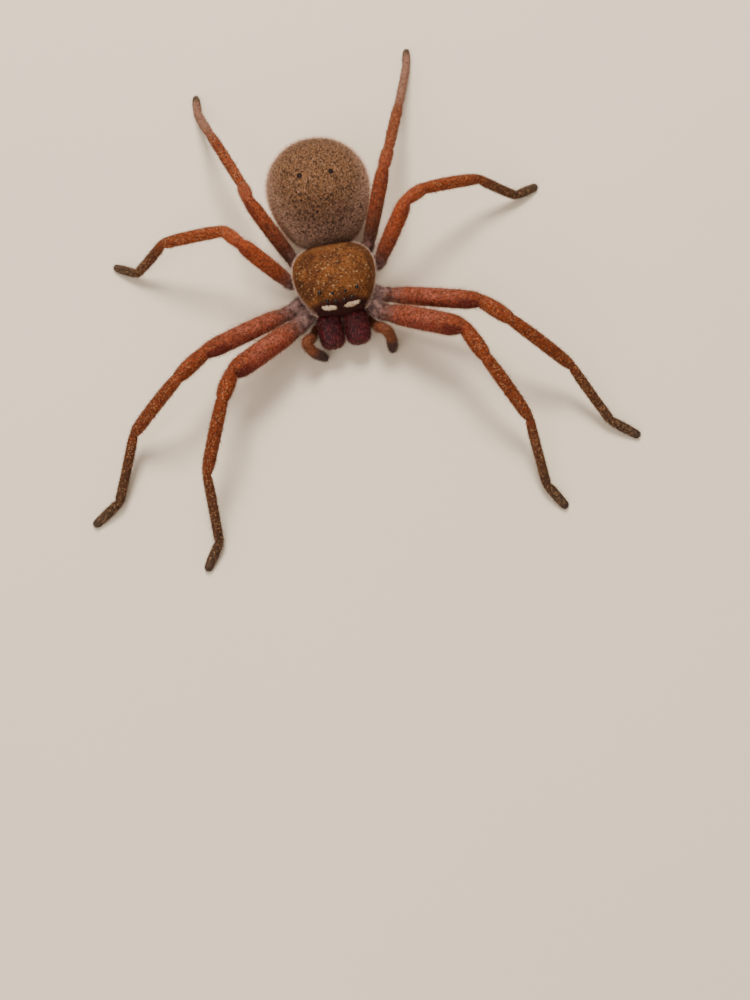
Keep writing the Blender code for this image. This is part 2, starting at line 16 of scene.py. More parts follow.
import bpy
import numpy as np
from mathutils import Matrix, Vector


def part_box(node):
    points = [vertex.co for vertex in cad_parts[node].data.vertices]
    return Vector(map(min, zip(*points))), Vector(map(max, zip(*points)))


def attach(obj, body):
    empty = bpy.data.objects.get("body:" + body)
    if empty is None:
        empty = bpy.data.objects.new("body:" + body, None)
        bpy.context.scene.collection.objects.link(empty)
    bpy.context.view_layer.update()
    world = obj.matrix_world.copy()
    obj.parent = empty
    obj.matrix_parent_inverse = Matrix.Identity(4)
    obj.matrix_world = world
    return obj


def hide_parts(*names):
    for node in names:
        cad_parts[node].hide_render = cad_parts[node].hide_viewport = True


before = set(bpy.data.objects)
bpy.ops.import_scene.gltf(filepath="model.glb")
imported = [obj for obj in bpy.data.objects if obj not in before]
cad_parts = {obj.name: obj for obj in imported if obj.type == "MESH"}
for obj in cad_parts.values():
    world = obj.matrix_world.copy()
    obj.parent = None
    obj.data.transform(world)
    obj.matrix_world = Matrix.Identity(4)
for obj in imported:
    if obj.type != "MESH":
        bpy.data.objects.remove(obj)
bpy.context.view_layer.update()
MM = 0.001
SEED = 2754
UP = np.array((0.0, 0.0, 1.0))
BAKE_MAP = "OFBake"
MARKS = ("along", "upper", "facing", "front", "rear")
MIX_COLOURS = (6, 7)
MIX_RESULT = 2
WELD_GAP = 0.002
QUAD_BEND = math.radians(30)
QUAD_SKEW = math.radians(50)
LOG = logging.getLogger("huntsman")

Array = np.ndarray
Material = bpy.types.Material
Mesh = bpy.types.Mesh
Socket = bpy.types.NodeSocket
Thing = bpy.types.Object
Triple = tuple[float, float, float]
Colour = Triple
Span = tuple[float, float]
Stretch = tuple[float, float, float, float]
Stops = tuple[tuple[float, Colour], ...]
Profile = tuple[Span, ...]
Ring = tuple[Array, Array, float]
Marks = dict[str, Array]
Number = float | Socket
Paint = Colour | Socket


class Side(Enum):
    """The two sides of the spider, as the sign of X."""

    LEFT = 1.0
    RIGHT = -1.0

    @property
    def label(self) -> str:
        """Return the word that the solids' names use."""
        return self.name.lower()


class Region(Enum):
    """The stretches of the skin, in the order of its materials."""

    UNDERSIDE = 0
    LEG = 1
    ABDOMEN = 2
    PALP = 3


EYE_ROWS = ("front_middle", "front_side", "rear_middle", "rear_side")
EYE_NAMES = [f"eye_{row}_{side.label}" for row in EYE_ROWS for side in Side]


def unit(vectors: Array) -> Array:
    """Return vectors scaled to length one."""
    lengths = np.linalg.norm(vectors, axis=-1, keepdims=True)
    return vectors / np.maximum(lengths, 1e-12)


def fade(values: Array, low: float, high: float) -> Array:
    """Return a smooth step from 0 at low to 1 at high."""
    t = np.clip((values - low) / (high - low), 0.0, 1.0)
    return t * t * (3.0 - 2.0 * t)


def node_points(node: str) -> Array:
    """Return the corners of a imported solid, in millimetres.

    Args:
        node: The solid's name.

    Returns:
        One row for each corner.
    """
    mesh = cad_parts[node].data
    corners = np.zeros(len(mesh.vertices) * 3, np.float32)
    mesh.vertices.foreach_get("co", corners)
    return np.unique(np.round(corners.reshape(-1, 3) / MM, 4), axis=0).astype(float)


def node_box(node: str) -> tuple[Vector, Vector]:
    """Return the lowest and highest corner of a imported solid, in millimetres."""
    low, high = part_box(node)
    return low / MM, high / MM


def node_bounds(node: str) -> tuple[Array, Array]:
    """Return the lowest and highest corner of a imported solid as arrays, in millimetres."""
    low, high = node_box(node)
    return np.array(low), np.array(high)


def deselect() -> None:
    """Leave edit mode and select nothing."""
    if bpy.context.object and bpy.context.object.mode != "OBJECT":
        bpy.ops.object.mode_set(mode="OBJECT")
    bpy.ops.object.select_all(action="DESELECT")


def pick(thing: Thing) -> None:
    """Make an object the only selected and the active one.

    Args:
        thing: The object.
    """
    deselect()
    thing.select_set(True)
    bpy.context.view_layer.objects.active = thing


def rename(thing: Thing, name: str) -> None:
    """Give an object and its mesh a name."""
    thing.name = name
    thing.data.name = name


def settle(thing: Thing, name: str) -> Thing:
    """Name an object and put its place, turn and size into its mesh.

    Args:
        thing: The object.
        name: Its name.

    Returns:
        The object.
    """
    pick(thing)
    bpy.ops.object.transform_apply(location=True, rotation=True, scale=True)
    rename(thing, name)
    return thing


def shade(thing: Thing) -> None:
    """Shade an object smooth."""
    pick(thing)
    bpy.ops.object.shade_smooth()


def shift(thing: Thing, offset: Triple) -> None:
    """Move all of a mesh.

    Args:
        thing: The mesh's object.
        offset: How far it moves, in millimetres.
    """
    pick(thing)
    bpy.ops.object.mode_set(mode="EDIT")
    bpy.ops.mesh.select_all(action="SELECT")
    bpy.ops.transform.translate(value=tuple(part * MM for part in offset))
    bpy.ops.object.mode_set(mode="OBJECT")


def apply_modifier(thing: Thing, kind: str, **settings: object) -> None:
    """Add one modifier to an object and apply it.

    Args:
        thing: The object.
        kind: Blender's name of the modifier's type.
        settings: The modifier's properties.
    """
    pick(thing)
    modifier = thing.modifiers.new(kind.lower(), kind)
    for key, value in settings.items():
        setattr(modifier, key, value)
    bpy.ops.object.modifier_apply(modifier=modifier.name)


def refine(thing: Thing, levels: int) -> None:
    """Round an object off with a subdivision surface of some levels."""
    apply_modifier(thing, "SUBSURF", levels=levels, render_levels=levels)


def copy_of_solid(node: str, name: str) -> Thing:
    """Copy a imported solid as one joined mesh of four-sided faces.

    Args:
        node: The solid's name.
        name: The copy's name.

    Returns:
        The copy, at the solid's own place.
    """
    thing = bpy.data.objects.new(name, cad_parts[node].data.copy())
    thing.data.name = name
    thing.data.materials.clear()
    bpy.context.scene.collection.objects.link(thing)
    pick(thing)
    bpy.ops.object.mode_set(mode="EDIT")
    bpy.ops.mesh.select_all(action="SELECT")
    bpy.ops.mesh.remove_doubles(threshold=WELD_GAP * MM)
    bpy.ops.mesh.tris_convert_to_quads(face_threshold=QUAD_BEND, shape_threshold=QUAD_SKEW)
    bpy.ops.object.mode_set(mode="OBJECT")
    return thing


def join_all(things: list[Thing]) -> Thing:
    """Join several objects.

    Args:
        things: The objects.

    Returns:
        The first of them, which holds them all.
    """
    deselect()
    for thing in things:
        thing.select_set(True)
    bpy.context.view_layer.objects.active = things[0]
    bpy.ops.object.join()
    return things[0]


def vertex_array(mesh: Mesh) -> Array:
    """Return a mesh's vertices in millimetres.

    Args:
        mesh: The mesh.

    Returns:
        One row for each vertex.
    """
    flat = np.zeros(len(mesh.vertices) * 3, np.float32)
    mesh.vertices.foreach_get("co", flat)
    return flat.reshape(-1, 3).astype(float) / MM


def store_vertices(mesh: Mesh, points: Array) -> None:
    """Write vertices in millimetres back to a mesh."""
    mesh.vertices.foreach_set("co", (points * MM).astype(np.float32).ravel())
    mesh.update()


def store_attribute(mesh: Mesh, name: str, values: Array) -> None:
    """Keep one number for each vertex under a name that materials can read."""
    layer = mesh.attributes.new(name, "FLOAT", "POINT")
    layer.data.foreach_set("value", np.asarray(values, np.float32))


def nearest(points: Array, corners: Array) -> Array:
    """Return each point's distance to the nearest of some corners.

    Args:
        points: The points.
        corners: The corners.

    Returns:
        One distance for each point.
    """
    own = np.sum(points**2, axis=1)[:, None]
    theirs = np.sum(corners**2, axis=1)[None]
    squares = own + theirs - 2.0 * points @ corners.T
    return np.sqrt(np.maximum(squares.min(axis=1), 0.0))


def ball(centre: Vector, size: Triple, name: str) -> Thing:
    """Make a rounded lump.

    Args:
        centre: Its middle, in millimetres.
        size: Its half widths, in millimetres.
        name: Its name.

    Returns:
        The lump, settled at its place.
    """
    deselect()
    place = Vector(centre) * MM
    bpy.ops.mesh.primitive_ico_sphere_add(subdivisions=4, radius=1.0, location=place, scale=Vector(size) * MM)
    return settle(bpy.context.object, name)


def tube_through(name: str, rings: list[Ring], sides: int) -> Thing:
    """Build a closed tube through rings.

    Args:
        name: The tube's name.
        rings: The centre, axis and radius of each ring, in millimetres.
        sides: How many corners each ring has.

    Returns:
        The tube, settled at its place and rounded off.
    """
    deselect()
    for index, (centre, axis, radius) in enumerate(rings):
        turn = Vector(axis).to_track_quat("Z", "Y").to_euler()
        place = Vector(centre) * MM
        bpy.ops.mesh.primitive_circle_add(vertices=sides, radius=radius * MM, location=place, rotation=turn)
        if index == 0:
            bpy.ops.object.mode_set(mode="EDIT")
    bpy.ops.mesh.select_all(action="SELECT")
    bpy.ops.mesh.bridge_edge_loops()
    bpy.ops.mesh.select_all(action="SELECT")
    bpy.ops.mesh.fill_holes(sides=0)
    bpy.ops.mesh.select_all(action="SELECT")
    bpy.ops.mesh.normals_make_consistent(inside=False)
    bpy.ops.object.mode_set(mode="OBJECT")
    tube = settle(bpy.context.object, name)
    refine(tube, 1)
    return tube


@dataclass(frozen=True)
class Patches:
    """Soft random patches: their size in millimetres, and the noise's value at their edge and core."""

    size: float
    edge: float = 0.0
    core: float = 1.0
    detail: float = 3.0
    rough: float = 0.55


@dataclass(frozen=True)
class Dots:
    """Scattered dots: their spacing in millimetres, and the reach of their edge and core in spacings."""

    spacing: float
    edge: float
    core: float


class Board:
    """The nodes of one material."""

    def __init__(self, name: str) -> None:
        """Start a material with a Principled shader.

        Args:
            name: The material's name.
        """
        self.material = bpy.data.materials.new(name)
        self.material.use_nodes = True
        self.tree = self.material.node_tree
        self.shader = self.tree.nodes["Principled BSDF"]
        self.marks: dict[str, Socket] = {}

    def feed(self, node: bpy.types.Node, key: int | str, value: Number | tuple[float, ...]) -> None:
        """Link a socket to a node's input, or set the input to a value.

        Args:
            node: The node.
            key: The input's name or place.
            value: The socket or the value.
        """
        if isinstance(value, Socket):
            self.tree.links.new(value, node.inputs[key])
        else:
            node.inputs[key].default_value = value

    def add(self, kind: str, inputs: dict | None = None, **settings: object) -> bpy.types.Node:
        """Add a node.

        Args:
            kind: The node's type, without its common beginning.
            inputs: Sockets to link or values to set, by the input's name or place.
            settings: The node's properties.

        Returns:
            The node.
        """
        node = self.tree.nodes.new("ShaderNode" + kind)
        for key, value in settings.items():
            setattr(node, key, value)
        for key, value in (inputs or {}).items():
            self.feed(node, key, value)
        return node

    def place(self) -> Socket:
        """Return the point on the object."""
        return self.add("TexCoord").outputs["Object"]

    def mark(self, name: str) -> Socket:
        """Return a number kept on the mesh, from one node for each name.

        Args:
            name: The number's name.

        Returns:
            The number.
        """
        if name not in self.marks:
            self.marks[name] = self.add("Attribute", attribute_name=name).outputs["Fac"]
        return self.marks[name]

    def maths(self, operation: str, first: Number, second: Number = 0.0) -> Socket:
        """Return the result of one sum on two numbers."""
        return self.add("Math", {0: first, 1: second}, operation=operation).outputs[0]

    def scaled(self, value: Number, factor: float, offset: float) -> Socket:
        """Return a value times a factor, plus an offset."""
        return self.add("Math", {0: value, 1: factor, 2: offset}, operation="MULTIPLY_ADD").outputs[0]

    def opposite(self, value: Number) -> Socket:
        """Return one less a value."""
        return self.scaled(value, -1.0, 1.0)

    def product(self, *values: Number) -> Socket:
        """Return several numbers multiplied together.

        Args:
            values: The numbers, of which the first is a socket.

        Returns:
            The product.
        """
        result = values[0]
        for value in values[1:]:
            result = self.maths("MULTIPLY", result, value)
        return result

    def step(self, value: Number, low: float, high: float) -> Socket:
        """Return a smooth step of a value from 0 at low to 1 at high, or down if low is larger."""
        inputs = {"Value": value, "From Min": low, "From Max": high}
        return self.add("MapRange", inputs, interpolation_type="SMOOTHSTEP").outputs["Result"]

    def stretch(self, value: Number, places: Stretch) -> Socket:
        """Return 1 between the inner two of four places, fading to 0 at the outer two."""
        start, full_from, full_to, end = places
        return self.product(self.step(value, start, full_from), self.step(value, end, full_to))

    def band(self, value: Number, centre: float, half: float) -> Socket:
        """Return 1 where a value is at the centre, fading to 0 at half a width from it."""
        away = self.maths("ABSOLUTE", self.maths("SUBTRACT", value, centre))
        return self.step(away, half, 0.3 * half)

    def noise(self, patches: Patches) -> Socket:
        """Return soft random values from 0 to 1 over the object.

        Args:
            patches: Their size and detail.

        Returns:
            The values.
        """
        inputs = {
            "Vector": self.place(),
            "Scale": 1.0 / (patches.size * MM),
            "Detail": patches.detail,
            "Roughness": patches.rough,
        }
        return self.add("TexNoise", inputs).outputs["Fac"]

    def mottle(self, patches: Patches) -> Socket:
        """Return soft random patches, 1 at their core and 0 between them."""
        return self.step(self.noise(patches), patches.edge, patches.core)

    def speckle(self, dots: Dots) -> Socket:
        """Return scattered dots, 1 at their core and 0 between them.

        Args:
            dots: Their spacing and reach.

        Returns:
            The dots.
        """
        inputs = {"Vector": self.place(), "Scale": 1.0 / (dots.spacing * MM), "Randomness": 1.0}
        away = self.add("TexVoronoi", inputs, feature="F1").outputs["Distance"]
        return self.step(away, dots.edge, dots.core)

    def mix(self, amount: Number, first: Paint, second: Paint) -> Socket:
        """Return the first colour turned into the second.

        Args:
            amount: How far it is turned, from 0 to 1.
            first: The first colour.
            second: The second colour.

        Returns:
            The colour between them.
        """
        node = self.add("Mix", {0: amount}, data_type="RGBA", clamp_factor=True)
        for index, paint in zip(MIX_COLOURS, (first, second)):
            opaque = paint if isinstance(paint, Socket) else (*paint, 1.0)
            self.feed(node, index, opaque)
        return node.outputs[MIX_RESULT]

    def scale_colour(self, colour: Paint, amount: Number) -> Socket:
        """Return a colour made darker or lighter by a factor."""
        return self.add("VectorMath", {0: colour, "Scale": amount}, operation="SCALE").outputs[0]

    def ramp(self, value: Number, stops: Stops) -> Socket:
        """Return a colour read from stops along a value.

        Args:
            value: The value, from 0 to 1.
            stops: Places along it, each with its colour.

        Returns:
            The colour.
        """
        node = self.add("ValToRGB", {"Fac": value})
        elements = node.color_ramp.elements
        while len(elements) < len(stops):
            elements.new(0.5)
        for element, (position, colour) in zip(elements, stops):
            element.position = position
            element.color = (*colour, 1.0)
        return node.outputs["Color"]

    def bump(self, height: Socket, depth: float) -> None:
        """Give the shader a relief whose depth is in millimetres."""
        node = self.add("Bump", {"Height": height, "Distance": depth * MM, "Strength": 1.0})
        self.tree.links.new(node.outputs["Normal"], self.shader.inputs["Normal"])

    def finish(self, colour: Socket, roughness: Number, gloss: float) -> Material:
        """Give the shader its colour and polish.

        Args:
            colour: The base colour.
            roughness: The roughness.
            gloss: The specular level.

        Returns:
            The material.
        """
        self.feed(self.shader, "Base Color", colour)
        self.feed(self.shader, "Roughness", roughness)
        self.shader.inputs["Specular IOR Level"].default_value = gloss
        return self.material


@dataclass(frozen=True)
class Finish:
    """The look of one part of the spider, alike on its skin and on its hair.

    In this class and those drawn from it, a span says where a marking starts and where it is
    full, and a stretch has such a span at both of its ends.
    """

    name: str
    roughness: float = 0.75
    hair_roughness: float = 0.6
    gloss: float = 0.35
    grain: Patches = Patches(0.16, detail=4.0, rough=0.6)
    relief: float = 0.03
    mottle: Patches = Patches(0.24, 0.34, 0.66, detail=5.0, rough=0.7)
    mottle_contrast: float = 1.0
    mottle_floor: float = 0.5
    root_shade: float = 0.75
    tip_shade_gain: float = 0.5
    tip_tint: Colour = (0.6, 0.4, 0.27)
    tip_amount: float = 0.25
    tip_keeps: float = 0.0
    tip_gain: float = 2.4
    variety: float = 0.9

    def colour(self, board: Board) -> Socket:
        """Return the markings, which the skin and the hair share."""
        raise NotImplementedError

    def mottled(self, board: Board, base: Socket) -> Socket:
        """Return a colour with its fine light and dark mottling."""
        brightness = board.scaled(board.mottle(self.mottle), self.mottle_contrast, self.mottle_floor)
        return board.scale_colour(base, brightness)

    def skin(self) -> Material:
        """Return the material of the bare surface.

        Returns:
            The material.
        """
        board = Board(f"{self.name}_skin")
        board.bump(board.noise(self.grain), self.relief)
        return board.finish(self.colour(board), self.roughness, self.gloss)

    def hair(self, name: str = "", shade: float | None = None, tip: float | None = None) -> Material:
        """Return the material of the hair, darker at its root and paler at its tip.

        Args:
            name: The material's name, or nothing for the finish's own.
            shade: The brightness at the root, or None for the finish's own.
            tip: How much of the tip's tint shows, or None for the finish's own.

        Returns:
            The material.
        """
        root_shade = self.root_shade if shade is None else shade
        tip_amount = self.tip_amount if tip is None else tip
        board = Board(name or self.name + "_hair")
        along_hair, tone = board.mark("tip"), board.mark("tone")
        brightness = board.scaled(along_hair, self.tip_shade_gain, root_shade)
        own = board.scaled(tone, self.variety, 1.0 - 0.5 * self.variety)
        body = board.scale_colour(self.colour(board), board.product(brightness, own))
        amount = board.product(along_hair, tone, 2.0 * tip_amount)
        paler = board.mix(self.tip_keeps, self.tip_tint, board.scale_colour(body, self.tip_gain))
        return board.finish(board.mix(amount, body, paler), self.hair_roughness, self.gloss)


@dataclass(frozen=True)
class LegFinish(Finish):
    """Orange-brown upper legs that darken to near black at the feet, with fine pale dots."""

    mottle: Patches = Patches(0.30, 0.34, 0.66, detail=4.0)
    mottle_contrast: float = 0.95
    mottle_floor: float = 0.52
    segments: float = 5.0
    stops: Stops = (
        (0.00, (0.15, 0.030, 0.010)),
        (0.10, (0.205, 0.035, 0.009)),
        (0.24, (0.195, 0.032, 0.006)),
        (0.45, (0.168, 0.028, 0.004)),
        (0.59, (0.140, 0.025, 0.004)),
        (0.63, (0.095, 0.024, 0.006)),
        (0.72, (0.066, 0.021, 0.007)),
        (0.84, (0.042, 0.019, 0.008)),
        (1.00, (0.060, 0.034, 0.019)),
    )
    # painted sheen: a pinkish highlight on top of the front thighs
    flush: Colour = (0.31, 0.078, 0.044)
    flush_middle: float = 0.45
    flush_half: float = 0.52
    flush_upper: Span = (-0.4, 0.8)
    flush_patches: Patches = Patches(0.9, 0.34, 0.62)
    flush_amount: float = 0.75
    # crimson front side of the thighs: partly the legs' own dark red, partly painted shade on that side
    crimson_and_shade: Colour = (0.150, 0.014, 0.007)
    crimson_and_shade_stretch: Stretch = (0.1, 0.4, 0.8, 1.0)
    crimson_and_shade_facing: Span = (0.25, 0.95)
    crimson_and_shade_amount: float = 0.7
    root_shade_span: Span = (0.95, 0.0)
    root_shade_amount: float = 0.7
    last_shin: Colour = (0.26, 0.12, 0.08)
    last_shin_stretch: Stretch = (2.7, 3.2, 4.3, 4.7)
    last_shin_amount: float = 0.75
    third_span: Span = (3.3, 2.6)
    third_gain: float = 0.28
    hip: Colour = (0.21, 0.105, 0.085)
    hip_shade: Colour = (0.055, 0.022, 0.017)
    hip_patches: Patches = Patches(0.7, 0.36, 0.64, detail=4.0)
    hip_span: Span = (0.26, 0.0)
    hip_edge: Patches = Patches(0.5, detail=4.0)
    hip_raggedness: float = 0.5
    dots: Colour = (0.60, 0.31, 0.13)
    dot_kind: Dots = Dots(0.30, 0.44, 0.22)
    dot_patches: Patches = Patches(1.3, 0.30, 0.52, detail=2.0)
    dot_stretch: Stretch = (0.1, 0.5, 4.4, 5.2)
    dot_full: Span = (0.9, 1.7)
    dot_thigh_share: float = 0.4
    dot_amount: float = 0.42
    # knee patch: partly the legs' own dark red, partly painted shade on the front side of the knee
    knee_red_and_shade: Colour = (0.10, 0.006, 0.003)
    knee_red_and_shade_middle: float = 0.90
    knee_red_and_shade_half: float = 0.17
    knee_red_and_shade_facing: Span = (0.30, 0.55)
    knee_red_and_shade_amount: float = 0.42
    knee_red_and_shade_front_gain: float = 0.5

    def colour(self, board: Board) -> Socket:
        """Return the leg's markings with its painted sheen and shade, from its place along the limb and the
        side that it faces.

        Args:
            board: The nodes of the material.

        Returns:
            The colour.
        """
        base = board.ramp(board.maths("DIVIDE", board.mark("along"), self.segments), self.stops)
        base = self.paint_thigh_sheen_and_shade(board, base)
        base = self.pairs(board, base)
        base = self.hips(board, self.mottled(board, base))
        return self.redden_and_shade_knees(board, self.dotted(board, base))

    def paint_thigh_sheen_and_shade(self, board: Board, base: Socket) -> Socket:
        """Paint a pinkish sheen on top of the front thighs, and turn their front side crimson, partly as
        painted shade.

        Args:
            board: The nodes of the material.
            base: The colour so far.

        Returns:
            The colour.
        """
        along, front = board.mark("along"), board.mark("front")
        # painted sheen: a pinkish highlight on top of the front thighs
        place = board.band(along, self.flush_middle, self.flush_half)
        flush = board.product(place, front, board.step(board.mark("upper"), *self.flush_upper))
        flush = board.product(flush, board.mottle(self.flush_patches), self.flush_amount)
        base = board.mix(flush, base, self.flush)
        # crimson front side: partly the legs' own dark red, partly painted shade
        thigh = board.product(board.stretch(along, self.crimson_and_shade_stretch), front, self.crimson_and_shade_amount)
        ahead = board.step(board.mark("facing"), *self.crimson_and_shade_facing)
        return board.mix(board.product(ahead, thigh), base, self.crimson_and_shade)

    def pairs(self, board: Board, base: Socket) -> Socket:
        """Shade the last pairs near the body, pale the fourth pair's shins and brighten the third pair.

        Args:
            board: The nodes of the material.
            base: The colour so far.

        Returns:
            The colour.
        """
        along, front, rear = board.mark("along"), board.mark("front"), board.mark("rear")
        root = board.product(board.step(along, *self.root_shade_span), board.opposite(front))
        root = board.product(root, board.scaled(rear, 0.5, 0.5))
        base = board.scale_colour(base, board.scaled(root, -self.root_shade_amount, 1.0))
        shin = board.product(rear, board.stretch(along, self.last_shin_stretch), self.last_shin_amount)
        base = board.mix(shin, base, self.last_shin)
        third = board.opposite(board.maths("ADD", front, rear))
        third = board.product(third, board.step(along, *self.third_span))
        return board.scale_colour(base, board.scaled(third, self.third_gain, 1.0))

    def hips(self, board: Board, base: Socket) -> Socket:
        """Turn the hips grey-lilac, with a ragged edge.

        Args:
            board: The nodes of the material.
            base: The colour so far.

        Returns:
            The colour.
        """
        hip = board.mix(board.mottle(self.hip_patches), self.hip_shade, self.hip)
        stray = board.scaled(board.noise(self.hip_edge), self.hip_raggedness, -0.5 * self.hip_raggedness)
        ragged = board.maths("ADD", board.mark("along"), stray)
        return board.mix(board.step(ragged, *self.hip_span), base, hip)

    def dotted(self, board: Board, base: Socket) -> Socket:
        """Add the fine pale dots, fainter on the thighs.

        Args:
            board: The nodes of the material.
            base: The colour so far.

        Returns:
            The colour.
        """
        along = board.mark("along")
        beyond_thigh = board.step(along, *self.dot_full)
        share = board.scaled(beyond_thigh, 1.0 - self.dot_thigh_share, self.dot_thigh_share)
        dots = board.product(board.speckle(self.dot_kind), share, board.mottle(self.dot_patches))
        reach = board.stretch(along, self.dot_stretch)
        return board.mix(board.product(dots, reach, self.dot_amount), base, self.dots)

    def redden_and_shade_knees(self, board: Board, base: Socket) -> Socket:
        """Redden the front side of the knees, most on the front legs: partly their own dark red, partly
        painted shade.

        Args:
            board: The nodes of the material.
            base: The colour so far.

        Returns:
            The colour.
        """
        # knee patch: partly the legs' own dark red, partly painted shade
        knee_red_and_shade = board.product(
            board.band(board.mark("along"), self.knee_red_and_shade_middle, self.knee_red_and_shade_half),
            board.step(board.mark("facing"), *self.knee_red_and_shade_facing),
            board.scaled(board.mark("front"), self.knee_red_and_shade_front_gain, self.knee_red_and_shade_amount),
        )
        return board.mix(knee_red_and_shade, base, self.knee_red_and_shade)


@dataclass(frozen=True)
class AbdomenFinish(Finish):
    """Grey-brown velvet with fine dark speckles, paler round the sides."""

    mottle_contrast: float = 1.4
    mottle_floor: float = 0.28
    body: Colour = (0.150, 0.070, 0.031)
    front_shade: Colour = (0.055, 0.017, 0.008)
    front_span: Span = (1.0, 12.0)
    pale: Colour = (0.43, 0.250, 0.170)
    pale_upper: Span = (0.80, 0.05)
    pale_amount: float = 0.2
    pale_rear_gain: float = 0.75
    belly: Colour = (0.20, 0.115, 0.078)
    belly_upper: Span = (0.15, -0.45)
    belly_amount: float = 0.85
    light_dots: Dots = Dots(0.5, 0.40, 0.22)
    light_patches: Patches = Patches(1.1, 0.36, 0.6, detail=2.0)
    light_amount: float = 0.3
    dark: Colour = (0.020, 0.008, 0.005)
    fine_dots: Dots = Dots(0.42, 0.46, 0.26)
    fine_patches: Patches = Patches(1.6, 0.30, 0.54, detail=2.0)
    coarse_dots: Dots = Dots(0.85, 0.33, 0.20)
    dark_upper: Span = (-0.2, 0.3)
    dark_amount: float = 0.92
    dark_rear_loss: float = 0.3
    pit: Colour = (0.012, 0.006, 0.005)
    pit_reach: Span = (1.15, 0.75)
    pit_upper: Span = (0.0, 0.5)
    pits: tuple[Triple, ...] = ()

    def colour(self, board: Board) -> Socket:
        """Return the abdomen's markings.

        Args:
            board: The nodes of the material.

        Returns:
            The colour.
        """
        split = board.add("SeparateXYZ", {0: board.place()})
        rearward = board.step(split.outputs["Y"], *(place * MM for place in self.front_span))
        upper = board.mark("upper")
        base = board.mix(rearward, self.front_shade, self.body)
        low_side = board.scaled(rearward, self.pale_rear_gain, self.pale_amount)
        base = board.mix(board.product(board.step(upper, *self.pale_upper), low_side), base, self.pale)
        belly = board.product(board.step(upper, *self.belly_upper), self.belly_amount)
        base = self.mottled(board, board.mix(belly, base, self.belly))
        return self.pitted(board, self.speckled(board, base, rearward))

    def speckled(self, board: Board, base: Socket, rearward: Socket) -> Socket:
        """Add the light flecks and the fine and coarse dark speckles.

        Args:
            board: The nodes of the material.
            base: The colour so far.
            rearward: How far back the point lies, from 0 to 1.

        Returns:
            The colour.
        """
        light = board.product(board.speckle(self.light_dots), board.mottle(self.light_patches))
        base = board.mix(board.product(light, self.light_amount), base, self.pale)
        fine = board.product(board.speckle(self.fine_dots), board.mottle(self.fine_patches))
        dark = board.maths("MAXIMUM", fine, board.speckle(self.coarse_dots))
        dark = board.product(dark, board.scaled(rearward, -self.dark_rear_loss, 1.0), self.dark_amount)
        dark = board.product(dark, board.step(board.mark("upper"), *self.dark_upper))
        return board.mix(dark, base, self.dark)

    def pitted(self, board: Board, base: Socket) -> Socket:
        """Add the small dark pits on the back.

        Args:
            board: The nodes of the material.
            base: The colour so far.

        Returns:
            The colour.
        """
        place = board.place()
        on_back = board.step(board.mark("upper"), *self.pit_upper)
        for x, y, radius in self.pits:
            offset = board.add("VectorMath", {0: place, 1: (x * MM, y * MM, 0.0)}, operation="SUBTRACT")
            flat = board.add("VectorMath", {0: offset.outputs[0], 1: (1.0, 1.0, 0.0)}, operation="MULTIPLY")
            away = board.add("VectorMath", {0: flat.outputs[0]}, operation="LENGTH").outputs["Value"]
            pit = board.step(away, *(share * radius * MM for share in self.pit_reach))
            base = board.mix(board.product(pit, on_back), base, self.pit)
        return base


@dataclass(frozen=True)
class ShieldFinish(Finish):
    """Ochre head shield with a dark front, partly painted shade under its front edge, and a pale rim."""

    mottle_contrast: float = 1.35
    mottle_floor: float = 0.32
    ochre: Colour = (0.150, 0.050, 0.012)
    brown: Colour = (0.078, 0.024, 0.007)
    ochre_patches: Patches = Patches(1.8, 0.38, 0.62)
    # dark front: partly the head's own dark colour, partly painted shade on the face under the front edge
    front: Colour = (0.024, 0.004, 0.004)
    front_span: Span = (0.72, 0.97)
    fleck: Colour = (0.52, 0.34, 0.17)
    fleck_dots: Dots = Dots(0.42, 0.40, 0.20)
    fleck_patches: Patches = Patches(1.2, 0.4, 0.6)
    fleck_span: Span = (0.9, 0.6)
    fleck_amount: float = 0.4
    rim: Colour = (0.48, 0.29, 0.20)
    rim_span: Span = (0.86, 0.97)
    rim_amount: float = 0.8

    def colour(self, board: Board) -> Socket:
        """Return the shield's markings.

        Args:
            board: The nodes of the material.

        Returns:
            The colour.
        """
        ahead = board.mark("ahead")
        base = board.mix(board.mottle(self.ochre_patches), self.brown, self.ochre)
        # dark front: partly the head's own dark colour, partly painted shade under the front edge
        base = board.mix(board.step(ahead, *self.front_span), base, self.front)
        base = self.mottled(board, base)
        flecks = board.product(board.speckle(self.fleck_dots), board.mottle(self.fleck_patches))
        flecks = board.product(flecks, board.step(ahead, *self.fleck_span), self.fleck_amount)
        base = board.mix(flecks, base, self.fleck)
        rim = board.product(board.step(board.mark("rim"), *self.rim_span), self.rim_amount)
        return board.mix(rim, base, self.rim)


@dataclass(frozen=True)
class PlainFinish(Finish):
    """A mottled single tint, for the underside, jaws, spines and plain hair."""

    tint: Colour = (0.3, 0.2, 0.15)
    shade: Colour = (0.2, 0.12, 0.09)
    patches: Patches = Patches(0.6, 0.36, 0.64, detail=4.0)

    def colour(self, board: Board) -> Socket:
        """Return the tint, mottled with its shade."""
        return board.mix(board.mottle(self.patches), self.shade, self.tint)


@dataclass(frozen=True)
class PalpFinish(PlainFinish):
    """Orange-brown palps with a dark purple last joint."""

    tip: Colour = (0.035, 0.012, 0.014)
    tip_span: Span = (0.42, 0.66)

    def colour(self, board: Board) -> Socket:
        """Return the palp's tint, darker toward its tip."""
        base = PlainFinish.colour(self, board)
        return board.mix(board.step(board.mark("along"), *self.tip_span), base, self.tip)


